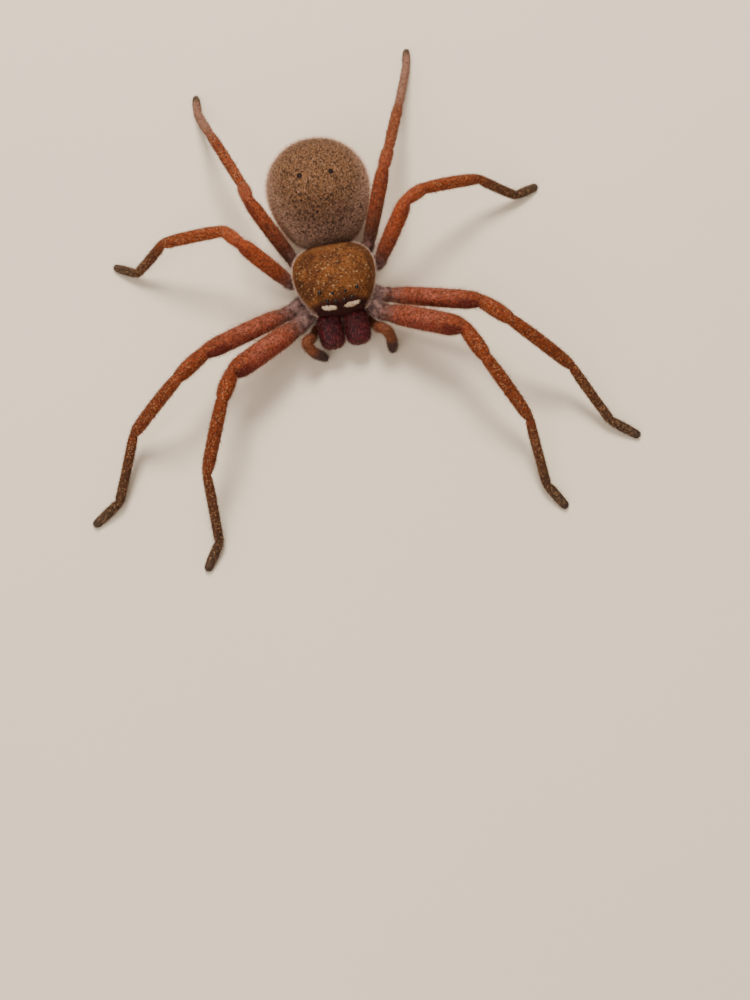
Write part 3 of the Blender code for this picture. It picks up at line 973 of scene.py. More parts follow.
@dataclass(frozen=True)
class GlossFinish:
    """Hard bare shell: eyes, fangs and claws."""

    name: str
    tint: Colour
    roughness: float
    coat: float = 0.0
    coat_roughness: float = 0.04
    gloss: float = 0.5
    streaks: Patches = Patches(0.25, detail=2.0)
    streak_gain: float = 2.2
    streak_roughness: Span = (0.3, 0.85)

    def material(self) -> Material:
        """Return the material, with faint streaks in its colour and polish.

        Returns:
            The material.
        """
        board = Board(self.name)
        streaks = board.noise(self.streaks)
        lighter = tuple(self.streak_gain * part for part in self.tint)
        rough = board.scaled(streaks, *(share * self.roughness for share in self.streak_roughness))
        board.shader.inputs["Coat Weight"].default_value = self.coat
        board.shader.inputs["Coat Roughness"].default_value = self.coat_roughness
        return board.finish(board.mix(streaks, self.tint, lighter), rough, self.gloss)


LEG = LegFinish("leg", gloss=0.2, tip_tint=(0.58, 0.28, 0.16), tip_amount=0.16)
ABDOMEN = AbdomenFinish(
    "abdomen",
    roughness=0.9,
    gloss=0.12,
    tip_tint=(0.50, 0.33, 0.22),
    tip_amount=0.24,
    tip_keeps=0.62,
    variety=1.2,
    pits=(
        (-1.68, 11.35, 0.36),
        (2.33, 11.13, 0.36),
        (-1.1, 5.3, 0.22),
        (-0.15, 5.3, 0.22),
        (-2.0, 8.4, 0.15),
        (-0.27, 6.9, 0.17),
        (-1.07, 7.9, 0.13),
    ),
)
SHIELD = ShieldFinish(
    "shield",
    roughness=0.8,
    gloss=0.12,
    tip_tint=(0.5, 0.30, 0.14),
    tip_amount=0.22,
    tip_keeps=0.72,
    variety=1.1,
)
UNDERSIDE = PlainFinish(
    "underside",
    tint=(0.21, 0.105, 0.085),
    shade=(0.055, 0.022, 0.017),
    patches=Patches(0.7, 0.36, 0.64, detail=4.0),
    tip_tint=(0.66, 0.48, 0.43),
    tip_amount=0.32,
)
JAW = PlainFinish(
    "jaw",
    roughness=0.55,
    gloss=0.2,
    tint=(0.085, 0.007, 0.009),
    shade=(0.016, 0.001, 0.002),
    patches=Patches(0.45, 0.36, 0.64, detail=4.0),
    tip_tint=(0.46, 0.17, 0.16),
    tip_amount=0.10,
    variety=1.2,
)
PALP = PalpFinish(
    "palp",
    tint=(0.22, 0.060, 0.016),
    shade=(0.12, 0.028, 0.010),
    patches=Patches(0.4, 0.36, 0.64, detail=4.0),
    tip_tint=(0.50, 0.24, 0.12),
    tip_amount=0.16,
)
WHITE = PlainFinish(
    "white_hair",
    tint=(1.0, 0.82, 0.57),
    shade=(0.94, 0.68, 0.42),
    tip_tint=(1.0, 0.92, 0.76),
    root_shade=1.0,
    variety=0.25,
)
FRINGE = PlainFinish("rim_hair", tint=(0.66, 0.45, 0.36), shade=(0.44, 0.27, 0.20), root_shade=0.8)
SPINE = PlainFinish("spine", tint=(0.06, 0.022, 0.012), shade=(0.03, 0.011, 0.007), tip_amount=0.1)
FOOT_HAIR = PlainFinish("foot_hair", tint=(0.045, 0.024, 0.014), shade=(0.020, 0.011, 0.007), tip_amount=0.12)
EYE = GlossFinish("eye_gloss", (0.006, 0.003, 0.002), 0.2, gloss=0.25)
FANG = GlossFinish("fang_gloss", (0.010, 0.004, 0.004), 0.25, coat=0.5)
SKIN_FINISHES = (UNDERSIDE, LEG, ABDOMEN, PALP)


@dataclass(frozen=True)
class Joint:
    """One stretch of a limb between two joints, as read from its solid."""

    start: Array
    middle: Array
    end: Array
    girth: float

    @property
    def direction(self) -> Array:
        """Return the way from start to end."""
        return unit(self.end - self.start)

    @property
    def length(self) -> float:
        """Return the distance from start to end."""
        return float(np.linalg.norm(self.end - self.start))

    @property
    def bow(self) -> Array:
        """Return how far the middle lies off the straight line."""
        return self.middle - 0.5 * (self.start + self.end)

    def point(self, fraction: float) -> Array:
        """Return the centre line's point at a fraction of the length."""
        return self.start + (self.end - self.start) * fraction + self.bow * 4.0 * fraction * (1.0 - fraction)

    def points(self, fractions: Array) -> Array:
        """Return the centre line's points at many fractions of the length."""
        centres = self.start + np.outer(fractions, self.end - self.start)
        return centres + np.outer(4.0 * fractions * (1.0 - fractions), self.bow)


@dataclass
class Leg:
    """The centre line and girth of one leg, read from its five solids, and its tube of skin.

    A profile has a place along its segment and a share of the girth for each ring. The groove
    does the same round a joint, with the places in millimetres from it.
    """

    number: int
    side: Side
    segments: tuple[str, ...] = ("femur", "patella", "tibia", "metatarsus", "tarsus")
    femur: Profile = (
        (0.03, 0.80), (0.055, 0.80), (0.075, 0.74), (0.095, 0.74), (0.13, 0.83), (0.22, 0.94), (0.36, 0.99),
        (0.5, 1.0), (0.68, 1.0), (0.82, 0.98), (0.9, 0.96),
    )
    patella: Profile = ((0.2, 0.93), (0.4, 0.99), (0.6, 1.0), (0.8, 0.96))
    tibia: Profile = ((0.08, 0.93), (0.2, 0.98), (0.4, 1.0), (0.6, 0.99), (0.8, 0.95), (0.91, 0.91))
    metatarsus: Profile = ((0.07, 0.98), (0.2, 1.0), (0.4, 1.0), (0.6, 0.98), (0.8, 0.97), (0.92, 0.98))
    tarsus: Profile = (
        (0.08, 0.93), (0.25, 0.98), (0.5, 1.0), (0.72, 1.0), (0.88, 0.9), (0.96, 0.72), (0.995, 0.45),
    )
    groove: Profile = ((-0.3, 0.97), (-0.13, 0.93), (-0.04, 0.82), (0.05, 0.79), (0.15, 0.92))
    groove_share: float = 0.97
    clear_before: float = 0.4
    clear_after: float = 0.25
    root_rings: Profile = ((-1.0, 0.6), (-0.12, 0.78))
    root_swell: float = 0.18
    root_share: float = 0.2
    mitre_reach: float = 1.7
    sides: int = 16
    coat_depth: float = 0.05
    meeting_reach: float = 0.42
    girth_place: float = 0.47
    girth_half: float = 0.14
    joints: list[Joint] = field(default_factory=list)

    def __post_init__(self) -> None:
        """Read the leg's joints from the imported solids."""
        clouds = [node_points(solid) for solid in self.solids]
        nearer = [node_points("sternum"), *clouds]
        meets = [self.meeting(first, second) for first, second in zip(nearer, clouds)]
        tip_way = unit(clouds[-1].mean(axis=0) - meets[-1])
        reach = (clouds[-1] - meets[-1]) @ tip_way
        meets.append(meets[-1] + tip_way * reach.max())
        for cloud, start, end in zip(clouds, meets, meets[1:]):
            self.joints.append(self.measure(cloud, start, end))

    @property
    def name(self) -> str:
        """Return the leg's name."""
        return f"leg_{self.number}_{self.side.label}"

    @property
    def solids(self) -> list[str]:
        """Return the names of the leg's solids."""
        return [f"{self.name}_{segment}" for segment in self.segments]

    def meeting(self, first: Array, second: Array) -> Array:
        """Return the middle of the place where two solids face each other.

        Args:
            first: Corners of the solid nearer the body.
            second: Corners of the solid that follows it.

        Returns:
            The joint's centre.
        """
        apart = np.linalg.norm(first[:, None] - second[None], axis=2)
        near_second = second[(apart < self.meeting_reach).any(axis=0)]
        near_first = first[(apart < self.meeting_reach).any(axis=1)]
        return 0.5 * (near_first.mean(axis=0) + near_second.mean(axis=0))

    def measure(self, cloud: Array, start: Array, end: Array) -> Joint:
        """Measure one segment's girth and bow.

        Args:
            cloud: The corners of its solid.
            start: The joint at its start.
            end: The joint at its end.

        Returns:
            The stretch of limb.
        """
        way = unit(end - start)
        length = np.linalg.norm(end - start)
        fraction = (cloud - start) @ way / length
        ring = cloud[np.abs(fraction - self.girth_place) < self.girth_half]
        middle = ring.mean(axis=0)
        across = ring - middle
        across = across - np.outer(across @ way, way)
        girth = float(np.median(np.linalg.norm(across, axis=1)))
        fixed = start + way * (0.5 * length)
        bow = (middle - start) - way * ((middle - start) @ way)
        return Joint(start, fixed + bow, end, girth - self.coat_depth)

    def spans(self, index: int, profile: Profile) -> list[Span]:
        """Return the place and radius of each ring along one segment, necked in at its joints.

        Args:
            index: The segment's number.
            profile: Its rings, as shares of its length and girth.

        Returns:
            The places and radii in millimetres.
        """
        joint = self.joints[index]
        spans = [(fraction * joint.length, factor * joint.girth) for fraction, factor in profile]
        if index < len(self.joints) - 1:
            neck = self.groove_share * min(joint.girth, self.joints[index + 1].girth)
            spans = [(at, radius) for at, radius in spans if at < joint.length - self.clear_before]
            spans += [(joint.length + at, factor * neck) for at, factor in self.groove if at < 0.0]
        if index:
            neck = self.groove_share * min(joint.girth, self.joints[index - 1].girth)
            lead = [(at, factor * neck) for at, factor in self.groove if at > 0.0]
            spans = lead + [(at, radius) for at, radius in spans if at > self.clear_after]
        elif self.number > 2:
            root = self.root_share * joint.length
            swell = [1.0 + self.root_swell * max(0.0, 1.0 - at / root) for at, _radius in spans]
            spans = [(at, radius * factor) for (at, radius), factor in zip(spans, swell)]
        return spans

    def rings(self) -> list[Ring]:
        """Return centre, axis and radius of each ring of the leg's skin, from the hip to the tip.

        Returns:
            The rings.
        """
        profiles = (self.femur, self.patella, self.tibia, self.metatarsus, self.tarsus)
        first, last = self.joints[0], self.joints[-1]
        way = first.direction
        made = [(first.start + way * at, way, share * first.girth) for at, share in self.root_rings]
        bends = [unit(a.direction + b.direction) for a, b in zip(self.joints, self.joints[1:])]
        bends = [first.direction, *bends, last.direction]
        for index, (joint, profile) in enumerate(zip(self.joints, profiles)):
            before, after = bends[index : index + 2]
            reach = self.mitre_reach * joint.girth
            for at, radius in self.spans(index, profile):
                start_weight = max(0.0, 1.0 - at / reach)
                end_weight = max(0.0, 1.0 - (joint.length - at) / reach)
                axis = joint.direction + (before - joint.direction) * start_weight
                axis = unit(axis + (after - joint.direction) * end_weight)
                made.append((joint.point(at / joint.length), axis, radius))
        return made

    def build(self) -> Thing:
        """Build the leg's closed tube of skin from rings that are bridged and capped."""
        return tube_through(self.name, self.rings(), self.sides)

    def locate(self, points: Array) -> tuple[Array, Array, Array, Array]:
        """Find points' places along the leg.

        Args:
            points: Points in millimetres.

        Returns:
            How far along the leg each point is, where each segment counts one; its distance from
            the centre line as a share of the girth; the limb's direction; and the outward offset.
        """
        best = np.full(len(points), np.inf)
        along = np.zeros(len(points))
        way = np.zeros((len(points), 3))
        offset = np.zeros((len(points), 3))
        for index, joint in enumerate(self.joints):
            fraction = np.clip((points - joint.start) @ joint.direction / joint.length, 0.0, 1.0)
            away = points - joint.points(fraction)
            distance = np.linalg.norm(away, axis=1) / joint.girth
            nearer = distance < best
            best[nearer] = distance[nearer]
            along[nearer] = index + fraction[nearer]
            way[nearer] = joint.direction
            offset[nearer] = away[nearer]
        return along, best, way, offset


@dataclass
class Skin:
    """One closed skin over the abdomen, underside, legs and palps."""

    legs: list[Leg]
    voxel: float = 0.15
    smoothing: int = 6
    abdomen_depth: float = 0.12
    pleura_size: Triple = (0.9, 0.9, 0.7)
    pleura_drop: float = 0.75
    plugs: tuple[tuple[Triple, Triple], ...] = (
        ((0.43, 4.7, 5.0), (1.0, 1.1, 1.0)),
        ((0.43, 17.8, 4.4), (0.9, 0.9, 0.7)),
    )
    leg_reach: float = 1.22
    waist_margin: float = 0.1
    waist: Triple = (0.0, 0.5, 5.0)
    tail: Triple = (0.0, 3.0, 4.2)
    under_spread: Triple = (1.0, 0.5, 0.0)
    under_pull: Triple = (0.0, 0.6, -0.3)
    palp_margin: float = 0.12
    palp_reach: float = 1.5
    palp_length: float = 6.2
    palp_root_height: float = 1.3
    palp_turn: Span = (-4.0, -2.5)
    thing: Thing | None = None

    @property
    def solids(self) -> list[str]:
        """Return the names of the solids that the skin stands for."""
        named = [solid for leg in self.legs for solid in leg.solids]
        return [*named, "abdomen", "sternum", "spinnerets", "palp_left", "palp_right"]

    def pleura(self) -> Thing:
        """Return the soft wall between the head shield and the hips, drawn from the shield.

        Returns:
            The wall.
        """
        wall = copy_of_solid("carapace", "pleura")
        low, high = node_box("carapace")
        bpy.ops.object.mode_set(mode="EDIT")
        bpy.ops.mesh.select_all(action="SELECT")
        bpy.ops.transform.resize(value=self.pleura_size, center_override=(low + high) * 0.5 * MM)
        bpy.ops.object.mode_set(mode="OBJECT")
        shift(wall, (0.0, 0.0, -self.pleura_drop))
        return wall

    def core(self) -> Thing:
        """Return the abdomen, waist, underside and spinnerets as one rounded surface.

        Returns:
            The surface.
        """
        abdomen = copy_of_solid("abdomen", "abdomen_skin")
        refine(abdomen, 1)
        apply_modifier(abdomen, "DISPLACE", strength=-self.abdomen_depth * MM, mid_level=0.0)
        underside = copy_of_solid("sternum", "underside_skin")
        spinnerets = copy_of_solid("spinnerets", "spinneret_skin")
        parts = [abdomen, underside, spinnerets, self.pleura()]
        parts += [ball(centre, size, f"plug_{index}") for index, (centre, size) in enumerate(self.plugs)]
        body = join_all(parts)
        apply_modifier(body, "REMESH", mode="VOXEL", voxel_size=self.voxel * MM)
        apply_modifier(body, "SMOOTH", factor=0.5, iterations=self.smoothing)
        return body

    def limbs(self) -> list[Thing]:
        """Return the legs' tubes and the rounded palps.

        Returns:
            The legs, then the palps.
        """
        made = [leg.build() for leg in self.legs]
        for side in Side:
            palp = copy_of_solid(f"palp_{side.label}", f"palp_skin_{side.label}")
            refine(palp, 2)
            made.append(palp)
        return made

    def build(self) -> Thing:
        """Build the skin, mark its regions and dress it.

        Returns:
            The finished skin.
        """
        body = self.core()
        limbs = self.limbs()
        group = bpy.data.collections.new("limbs")
        for limb in limbs:
            group.objects.link(limb)
        bpy.context.scene.collection.children.link(group)
        union = {"operation": "UNION", "operand_type": "COLLECTION", "collection": group}
        apply_modifier(body, "BOOLEAN", **union, solver="MANIFOLD")
        for limb in limbs:
            bpy.data.objects.remove(limb, do_unlink=True)
        bpy.data.collections.remove(group)
        rename(body, "skin")
        self.thing = body
        self.dress()
        shade(body)
        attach(body, "root")
        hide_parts(*self.solids)
        return body

    def regions(self, points: Array) -> Marks:
        """Say where points of the skin belong.

        Args:
            points: Points in millimetres.

        Returns:
            Arrays by name: the region, the leg's index, the way the hair lies, how far along the
            limb, how much it looks up and to the front, and whether it is a front or last leg.
        """
        count = len(points)
        marks = {name: np.zeros(count) for name in MARKS}
        marks["region"] = np.full(count, Region.UNDERSIDE.value)
        marks["limb"] = np.full(count, -1)
        marks["lie"] = self.body_lie(points)
        self.mark_legs(points, marks)
        self.mark_abdomen(points, marks)
        for side in Side:
            self.mark_palp(side, points, marks)
        return marks

    def mark_legs(self, points: Array, marks: Marks) -> None:
        """Mark the points that lie near a leg's centre line.

        Args:
            points: Points in millimetres.
            marks: Their marks, which are filled in.
        """
        closest = np.full(len(points), self.leg_reach)
        for index, leg in enumerate(self.legs):
            place, distance, way, offset = leg.locate(points)
            mine = (distance < closest) & (place > 0.0)
            closest[mine] = distance[mine]
            heading, outward = way[mine], unit(offset[mine])
            ahead = np.sum(outward * unit(np.cross(UP, heading)), axis=1)
            marks["region"][mine] = Region.LEG.value
            marks["limb"][mine] = index
            marks["along"][mine] = place[mine]
            marks["upper"][mine] = outward[:, 2]
            marks["facing"][mine] = -np.sign(heading[:, 0]) * ahead
            marks["front"][mine] = float(leg.number < 3)
            marks["rear"][mine] = float(leg.number == 4)
            marks["lie"][mine] = heading

    def mark_abdomen(self, points: Array, marks: Marks) -> None:
        """Mark the points behind the waist, by how high they lie.

        Args:
            points: Points in millimetres.
            marks: Their marks, which are filled in.
        """
        low, high = node_bounds("abdomen")
        inside = (marks["region"] == Region.UNDERSIDE.value) & (points[:, 1] > low[1] - self.waist_margin)
        middle = 0.5 * (low[2] + high[2])
        marks["region"][inside] = Region.ABDOMEN.value
        marks["upper"][inside] = (points[inside, 2] - middle) / (0.5 * (high[2] - low[2]))

    def mark_palp(self, side: Side, points: Array, marks: Marks) -> None:
        """Mark the points of one palp, which lie nearer to its solid than to the underside's.

        Args:
            side: The palp's side.
            points: Points in millimetres.
            marks: Their marks, which are filled in.
        """
        corners, hub = node_points(f"palp_{side.label}"), node_points("sternum")
        low, high = corners.min(axis=0), corners.max(axis=0)
        inside = ((points > low - self.palp_margin) & (points < high + self.palp_margin)).all(axis=1)
        inside &= marks["region"] == Region.UNDERSIDE.value
        around = hub[((hub > low - self.palp_reach) & (hub < high + self.palp_reach)).all(axis=1)]
        inside[inside] = nearest(points[inside], corners) < nearest(points[inside], around)
        root = np.array((low[0] if side is Side.LEFT else high[0], high[1], low[2] + self.palp_root_height))
        to_tip = corners[np.argmin(corners[:, 2])] - points[inside]
        distance = np.linalg.norm(to_tip, axis=1)
        near_tip = fade(-distance, *self.palp_turn)[:, None]
        marks["region"][inside] = Region.PALP.value
        marks["along"][inside] = 1.0 - distance / self.palp_length
        marks["lie"][inside] = unit(points[inside] - root) * (1.0 - near_tip) + unit(to_tip) * near_tip

    def body_lie(self, points: Array) -> Array:
        """Return the way the hair lies on the body: back over the abdomen and outward underneath.

        Args:
            points: Points in millimetres.

        Returns:
            One direction for each point.
        """
        low, high = node_bounds("abdomen")
        waist = np.array((self.waist[0], low[1] - self.waist[1], self.waist[2]))
        tail = np.array((self.tail[0], high[1] + self.tail[1], self.tail[2]))
        share = fade(points[:, 1], low[1], high[1])[:, None]
        back = unit(points - waist) * (1.0 - share) + unit(tail - points) * share
        outward = unit(points * np.array(self.under_spread) + np.array(self.under_pull))
        on_abdomen = (points[:, 1] > low[1])[:, None]
        return np.where(on_abdomen, back, outward)

    def dress(self) -> None:
        """Give the skin its marks and its materials."""
        mesh = self.thing.data
        mesh.materials.clear()
        for finish in SKIN_FINISHES:
            mesh.materials.append(finish.skin())
        points = vertex_array(mesh)
        points[:, 2] = np.maximum(points[:, 2], 0.0)
        store_vertices(mesh, points)
        marks = self.regions(points)
        for name in MARKS:
            store_attribute(mesh, name, marks[name])
        centres = np.zeros(len(mesh.polygons) * 3, np.float32)
        mesh.polygons.foreach_get("center", centres)
        faces = self.regions(centres.reshape(-1, 3) / MM)["region"]
        mesh.polygons.foreach_set("material_index", faces.astype(np.int32))


@dataclass
class HeadShield:
    """The domed head shield, with its groove, a mound under each eye and its edge over the jaws."""

    voxel: float = 0.11
    smoothing: int = 5
    mound_margin: float = 0.16
    mound_sink: float = 0.2
    mound_lean: float = 0.3
    brow_back: float = 0.65
    brow_height: float = 5.4
    brow_size: Triple = (2.85, 0.8, 0.8)
    groove_place: float = 0.68
    groove_depth: float = 0.28
    groove_half: Span = (0.28, 1.1)
    furrow_headings: tuple[float, ...] = (0.48, 1.05, 1.6, 2.2)
    furrow_depth: float = 0.10
    furrow_half: float = 0.3
    furrow_start: Span = (0.4, 1.4)
    furrow_end: Span = (-5.2, -3.4)
    carved_heights: Span = (1.0, 2.2)
    front_length: float = 3.6
    front_narrowing: float = 0.42
    rear_length: float = 2.6
    rear_narrowing: float = 0.46
    rear_rim: float = 4.0
    rim_keeps: float = 0.9
    rim_heights: Span = (0.9, 0.35)
    rim_front_loss: float = 0.5
    rim_front_heights: Span = (1.0, 1.7)
    face_half: float = 2.9
    face_edge: float = 0.2
    face_front: Span = (0.5, 0.8)
    thing: Thing | None = None

    def build(self) -> Thing:
        """Build the shield and dress it.

        Returns:
            The finished shield.
        """
        shell = self.shell()
        rename(shell, "head_shield")
        points = vertex_array(shell.data)
        store_vertices(shell.data, self.carve(points))
        for name, values in self.marks(points).items():
            store_attribute(shell.data, name, values)
        shell.data.materials.append(SHIELD.skin())
        shade(shell)
        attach(shell, "root")
        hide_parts("carapace")
        self.thing = shell
        return shell

    def shell(self) -> Thing:
        """Return the plate, the eyes' mounds and the front edge as one rounded surface.

        Returns:
            The surface.
        """
        parts = [copy_of_solid("carapace", "carapace_skin")]
        refine(parts[0], 1)
        for name in EYE_NAMES:
            low, high = node_box(name)
            radius = 0.5 * (high.x - low.x) + self.mound_margin
            centre = (low + high) * 0.5 - Vector((0.0, -self.mound_lean, 1.0)) * self.mound_sink
            parts.append(ball(centre, (radius, radius, radius), f"mound_{name}"))
        low, high = node_box("carapace")
        edge = Vector((0.5 * (low.x + high.x), low.y + self.brow_back, self.brow_height))
        parts.append(ball(edge, self.brow_size, "front_edge"))
        whole = join_all(parts)
        apply_modifier(whole, "REMESH", mode="VOXEL", voxel_size=self.voxel * MM)
        apply_modifier(whole, "SMOOTH", factor=0.5, iterations=self.smoothing)
        return whole

    def carve(self, points: Array) -> Array:
        """Sink the groove at the middle and the furrows that part the head from the sides.

        Args:
            points: The shell's points in millimetres.

        Returns:
            The points, moved.
        """
        low, high = node_box("carapace")
        x = points[:, 0] - (low.x + high.x) / 2.0
        y = points[:, 1] - (low.y + self.groove_place * (high.y - low.y))
        top = fade(points[:, 2], low.z + self.carved_heights[0], low.z + self.carved_heights[1])
        depth = self.groove_depth * np.exp(-(x / self.groove_half[0]) ** 2 - (y / self.groove_half[1]) ** 2)
        angle = np.arctan2(x, -y)
        radius = np.hypot(x, y)
        reach = fade(radius, *self.furrow_start) * fade(-radius, *self.furrow_end)
        for heading in self.furrow_headings:
            for sign in (-1.0, 1.0):
                swerve = (angle - sign * heading) * radius
                depth += self.furrow_depth * np.exp(-(swerve / self.furrow_half) ** 2) * reach
        moved = points.copy()
        moved[:, 2] -= depth * top
        return moved

    def marks(self, points: Array) -> Marks:
        """Return how near the rim and how far to the front each point lies.

        Args:
            points: Points in millimetres.

        Returns:
            Arrays by name, from 0 to 1.
        """
        low, high = node_box("carapace")
        y, z = points[:, 1], points[:, 2]
        from_middle = np.abs(points[:, 0] - 0.5 * (low.x + high.x))
        front = fade(-y, -(low.y + self.front_length), -low.y)
        rear = fade(y, high.y - self.rear_length, high.y)
        half = 0.5 * (high.x - low.x)
        width = half * (1.0 - self.front_narrowing * front - self.rear_narrowing * rear)
        rim = np.maximum(from_middle / width, 1.0 - (high.y - y) / self.rear_rim)
        raised = fade(z, low.z + self.rim_front_heights[0], low.z + self.rim_front_heights[1])
        rim = rim * (1.0 - self.rim_front_loss * front * raised)
        height = fade(-z, -low.z - self.rim_heights[0], -low.z - self.rim_heights[1])
        rim = np.maximum(np.clip(rim, 0.0, 1.0) * self.rim_keeps, height)
        inward = fade(-from_middle, -self.face_half - self.face_edge, -self.face_half + self.face_edge)
        return {"rim": rim * (1.0 - fade(front, *self.face_front) * inward), "ahead": front}


@dataclass
class Eyes:
    """Eight eyes in two rows, each a glossy dome."""

    finish: GlossFinish

    def build(self) -> list[Thing]:
        """Build every eye over its solid.

        Returns:
            The eyes.
        """
        material = self.finish.material()
        made = []
        for name in EYE_NAMES:
            low, high = node_box(name)
            radius = 0.5 * (high.x - low.x)
            eye = ball((low + high) * 0.5, (radius, radius, radius), f"{name}_dome")
            shade(eye)
            eye.data.materials.append(material)
            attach(eye, "root")
            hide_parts(name)
            made.append(eye)
        return made


@dataclass
class Jaws:
    """The two stout jaws, each with its fang folded underneath."""

    finish: PlainFinish
    fang_finish: GlossFinish
    fullness: float = 0.10
    fang_lift: float = 0.30
    jaws: list[Thing] = field(default_factory=list)

    def build(self) -> list[Thing]:
        """Build the jaws and fangs over their solids, each fang drawn up to its jaw.

        Returns:
            The jaws and fangs.
        """
        made = []
        jaw_skin = self.finish.skin()
        shell = self.fang_finish.material()
        for side in Side:
            jaw = copy_of_solid(f"chelicera_{side.label}", f"jaw_{side.label}")
            refine(jaw, 2)
            apply_modifier(jaw, "DISPLACE", strength=self.fullness * MM, mid_level=0.0)
            fang = copy_of_solid(f"fang_{side.label}", f"fang_point_{side.label}")
            shift(fang, (0.0, 0.0, self.fang_lift))
            refine(fang, 2)
            for thing, solid, slot, material in (
                (jaw, "chelicera", "jaw", jaw_skin),
                (fang, "fang", "fang", shell),
            ):
                shade(thing)
                thing.data.materials.append(material)
                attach(thing, "root")
                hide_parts(f"{solid}_{side.label}")
                made.append(thing)
            self.jaws.append(jaw)
        return made


@dataclass
class Claws:
    """The pair of small hooked claws at each foot."""

    legs: list[Leg]
    finish: GlossFinish
    length: float = 0.42
    radius: float = 0.065
    taper: float = 0.85
    spread: float = 0.13
    sunk: float = 0.12
    rise: float = 0.06
    hook: float = 0.14
    drop: float = 0.16
    clearance: float = 0.08
    places: tuple[float, ...] = (0.0, 0.3, 0.6, 0.85, 1.0)
    sides: int = 6

    def claw(self, leg: Leg, sign: float) -> Thing:
        """Build one claw.

        Args:
            leg: The leg that it ends.
            sign: Which side of the foot it is on.

        Returns:
            The claw.
        """
        last = leg.joints[-1]
        across = unit(np.cross(last.direction, UP))
        root = last.end - last.direction * self.sunk + across * sign * self.spread + UP * self.rise
        path = []
        for t in self.places:
            height = self.hook * math.sin(math.pi * t) - self.drop * t
            point = root + last.direction * self.length * t + UP * height
            path.append(point + UP * max(0.0, self.clearance - point[2]))
        axes = [unit(b - a) for a, b in zip(path, path[1:])]
        widths = [self.radius * (1.0 - self.taper * t) for t in self.places]
        rings = list(zip(path, [*axes, axes[-1]], widths))
        return tube_through(f"claw_{leg.name}", rings, self.sides)

    def build(self) -> Thing:
        """Build all claws as one piece.

        Returns:
            The claws.
        """
        claw = join_all([self.claw(leg, sign) for leg in self.legs for sign in (-1.0, 1.0)])
        rename(claw, "claws")
        claw.data.materials.append(self.finish.material())
        shade(claw)
        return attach(claw, "root")


@dataclass(frozen=True)
class Hair:
    """The cut of one kind of hair, in millimetres and degrees."""

    length: float
    width: float
    lift: float
    per_mm2: float = 60.0
    bent: bool = False
    length_spread: float = 0.3
    turn_spread: float = 0.35


@dataclass(frozen=True)
class Growth:
    """One piece of the coat: its name, cut and material, where it grows and how it is combed.

    Attributes:
        keep: Which triangles grow it, or how densely each does, from 0 to 1.
        comb: How strongly it lies as its surface says.
        pull: What is added to the way that it lies.
        length: A factor on its length.
        foot_loss: How much of that factor is lost toward the foot.
    """

    name: str
    hair: Hair
    material: Material
    keep: Array
    comb: float = 1.0
    pull: Triple = (0.0, 0.0, 0.0)
    length: float = 1.0
    foot_loss: float = 0.0


@dataclass(frozen=True)
class Roots:
    """The points that hair grows from, with their surface's outward directions."""

    points: Array
    normals: Array


class Ground:
    """The triangles of one surface, from which hair can grow."""

    def __init__(self, thing: Thing) -> None:
        """Read a surface's triangles.

        Args:
            thing: The surface.
        """
        mesh = thing.data
        mesh.calc_loop_triangles()
        corners = np.zeros(len(mesh.loop_triangles) * 3, np.int32)
        mesh.loop_triangles.foreach_get("vertices", corners)
        self.triangles = vertex_array(mesh)[corners.reshape(-1, 3)]
        self.centres = self.triangles.mean(axis=1)
        first, second, third = self.triangles.transpose(1, 0, 2)
        across = np.cross(second - first, third - first)
        self.areas = 0.5 * np.linalg.norm(across, axis=1)
        self.normals = unit(across)

    def scatter(self, growth: Growth, rng: np.random.Generator) -> Roots:
        """Spread roots evenly over some of the triangles.

        Args:
            growth: What grows, and where.
            rng: The source of chance.

        Returns:
            The roots.
        """
        weights = self.areas * growth.keep
        total = weights.sum()
        count = max(1, int(total * growth.hair.per_mm2))
        at = (np.arange(count) + rng.random(count)) / count * total
        chosen = np.minimum(np.searchsorted(np.cumsum(weights), at), len(weights) - 1)
        first, second = rng.random((2, count))
        flip = first + second > 1.0
        first[flip], second[flip] = 1.0 - first[flip], 1.0 - second[flip]
        a, b, c = self.triangles[chosen].transpose(1, 0, 2)
        points = a + first[:, None] * (b - a) + second[:, None] * (c - a)
        return Roots(points, self.normals[chosen])


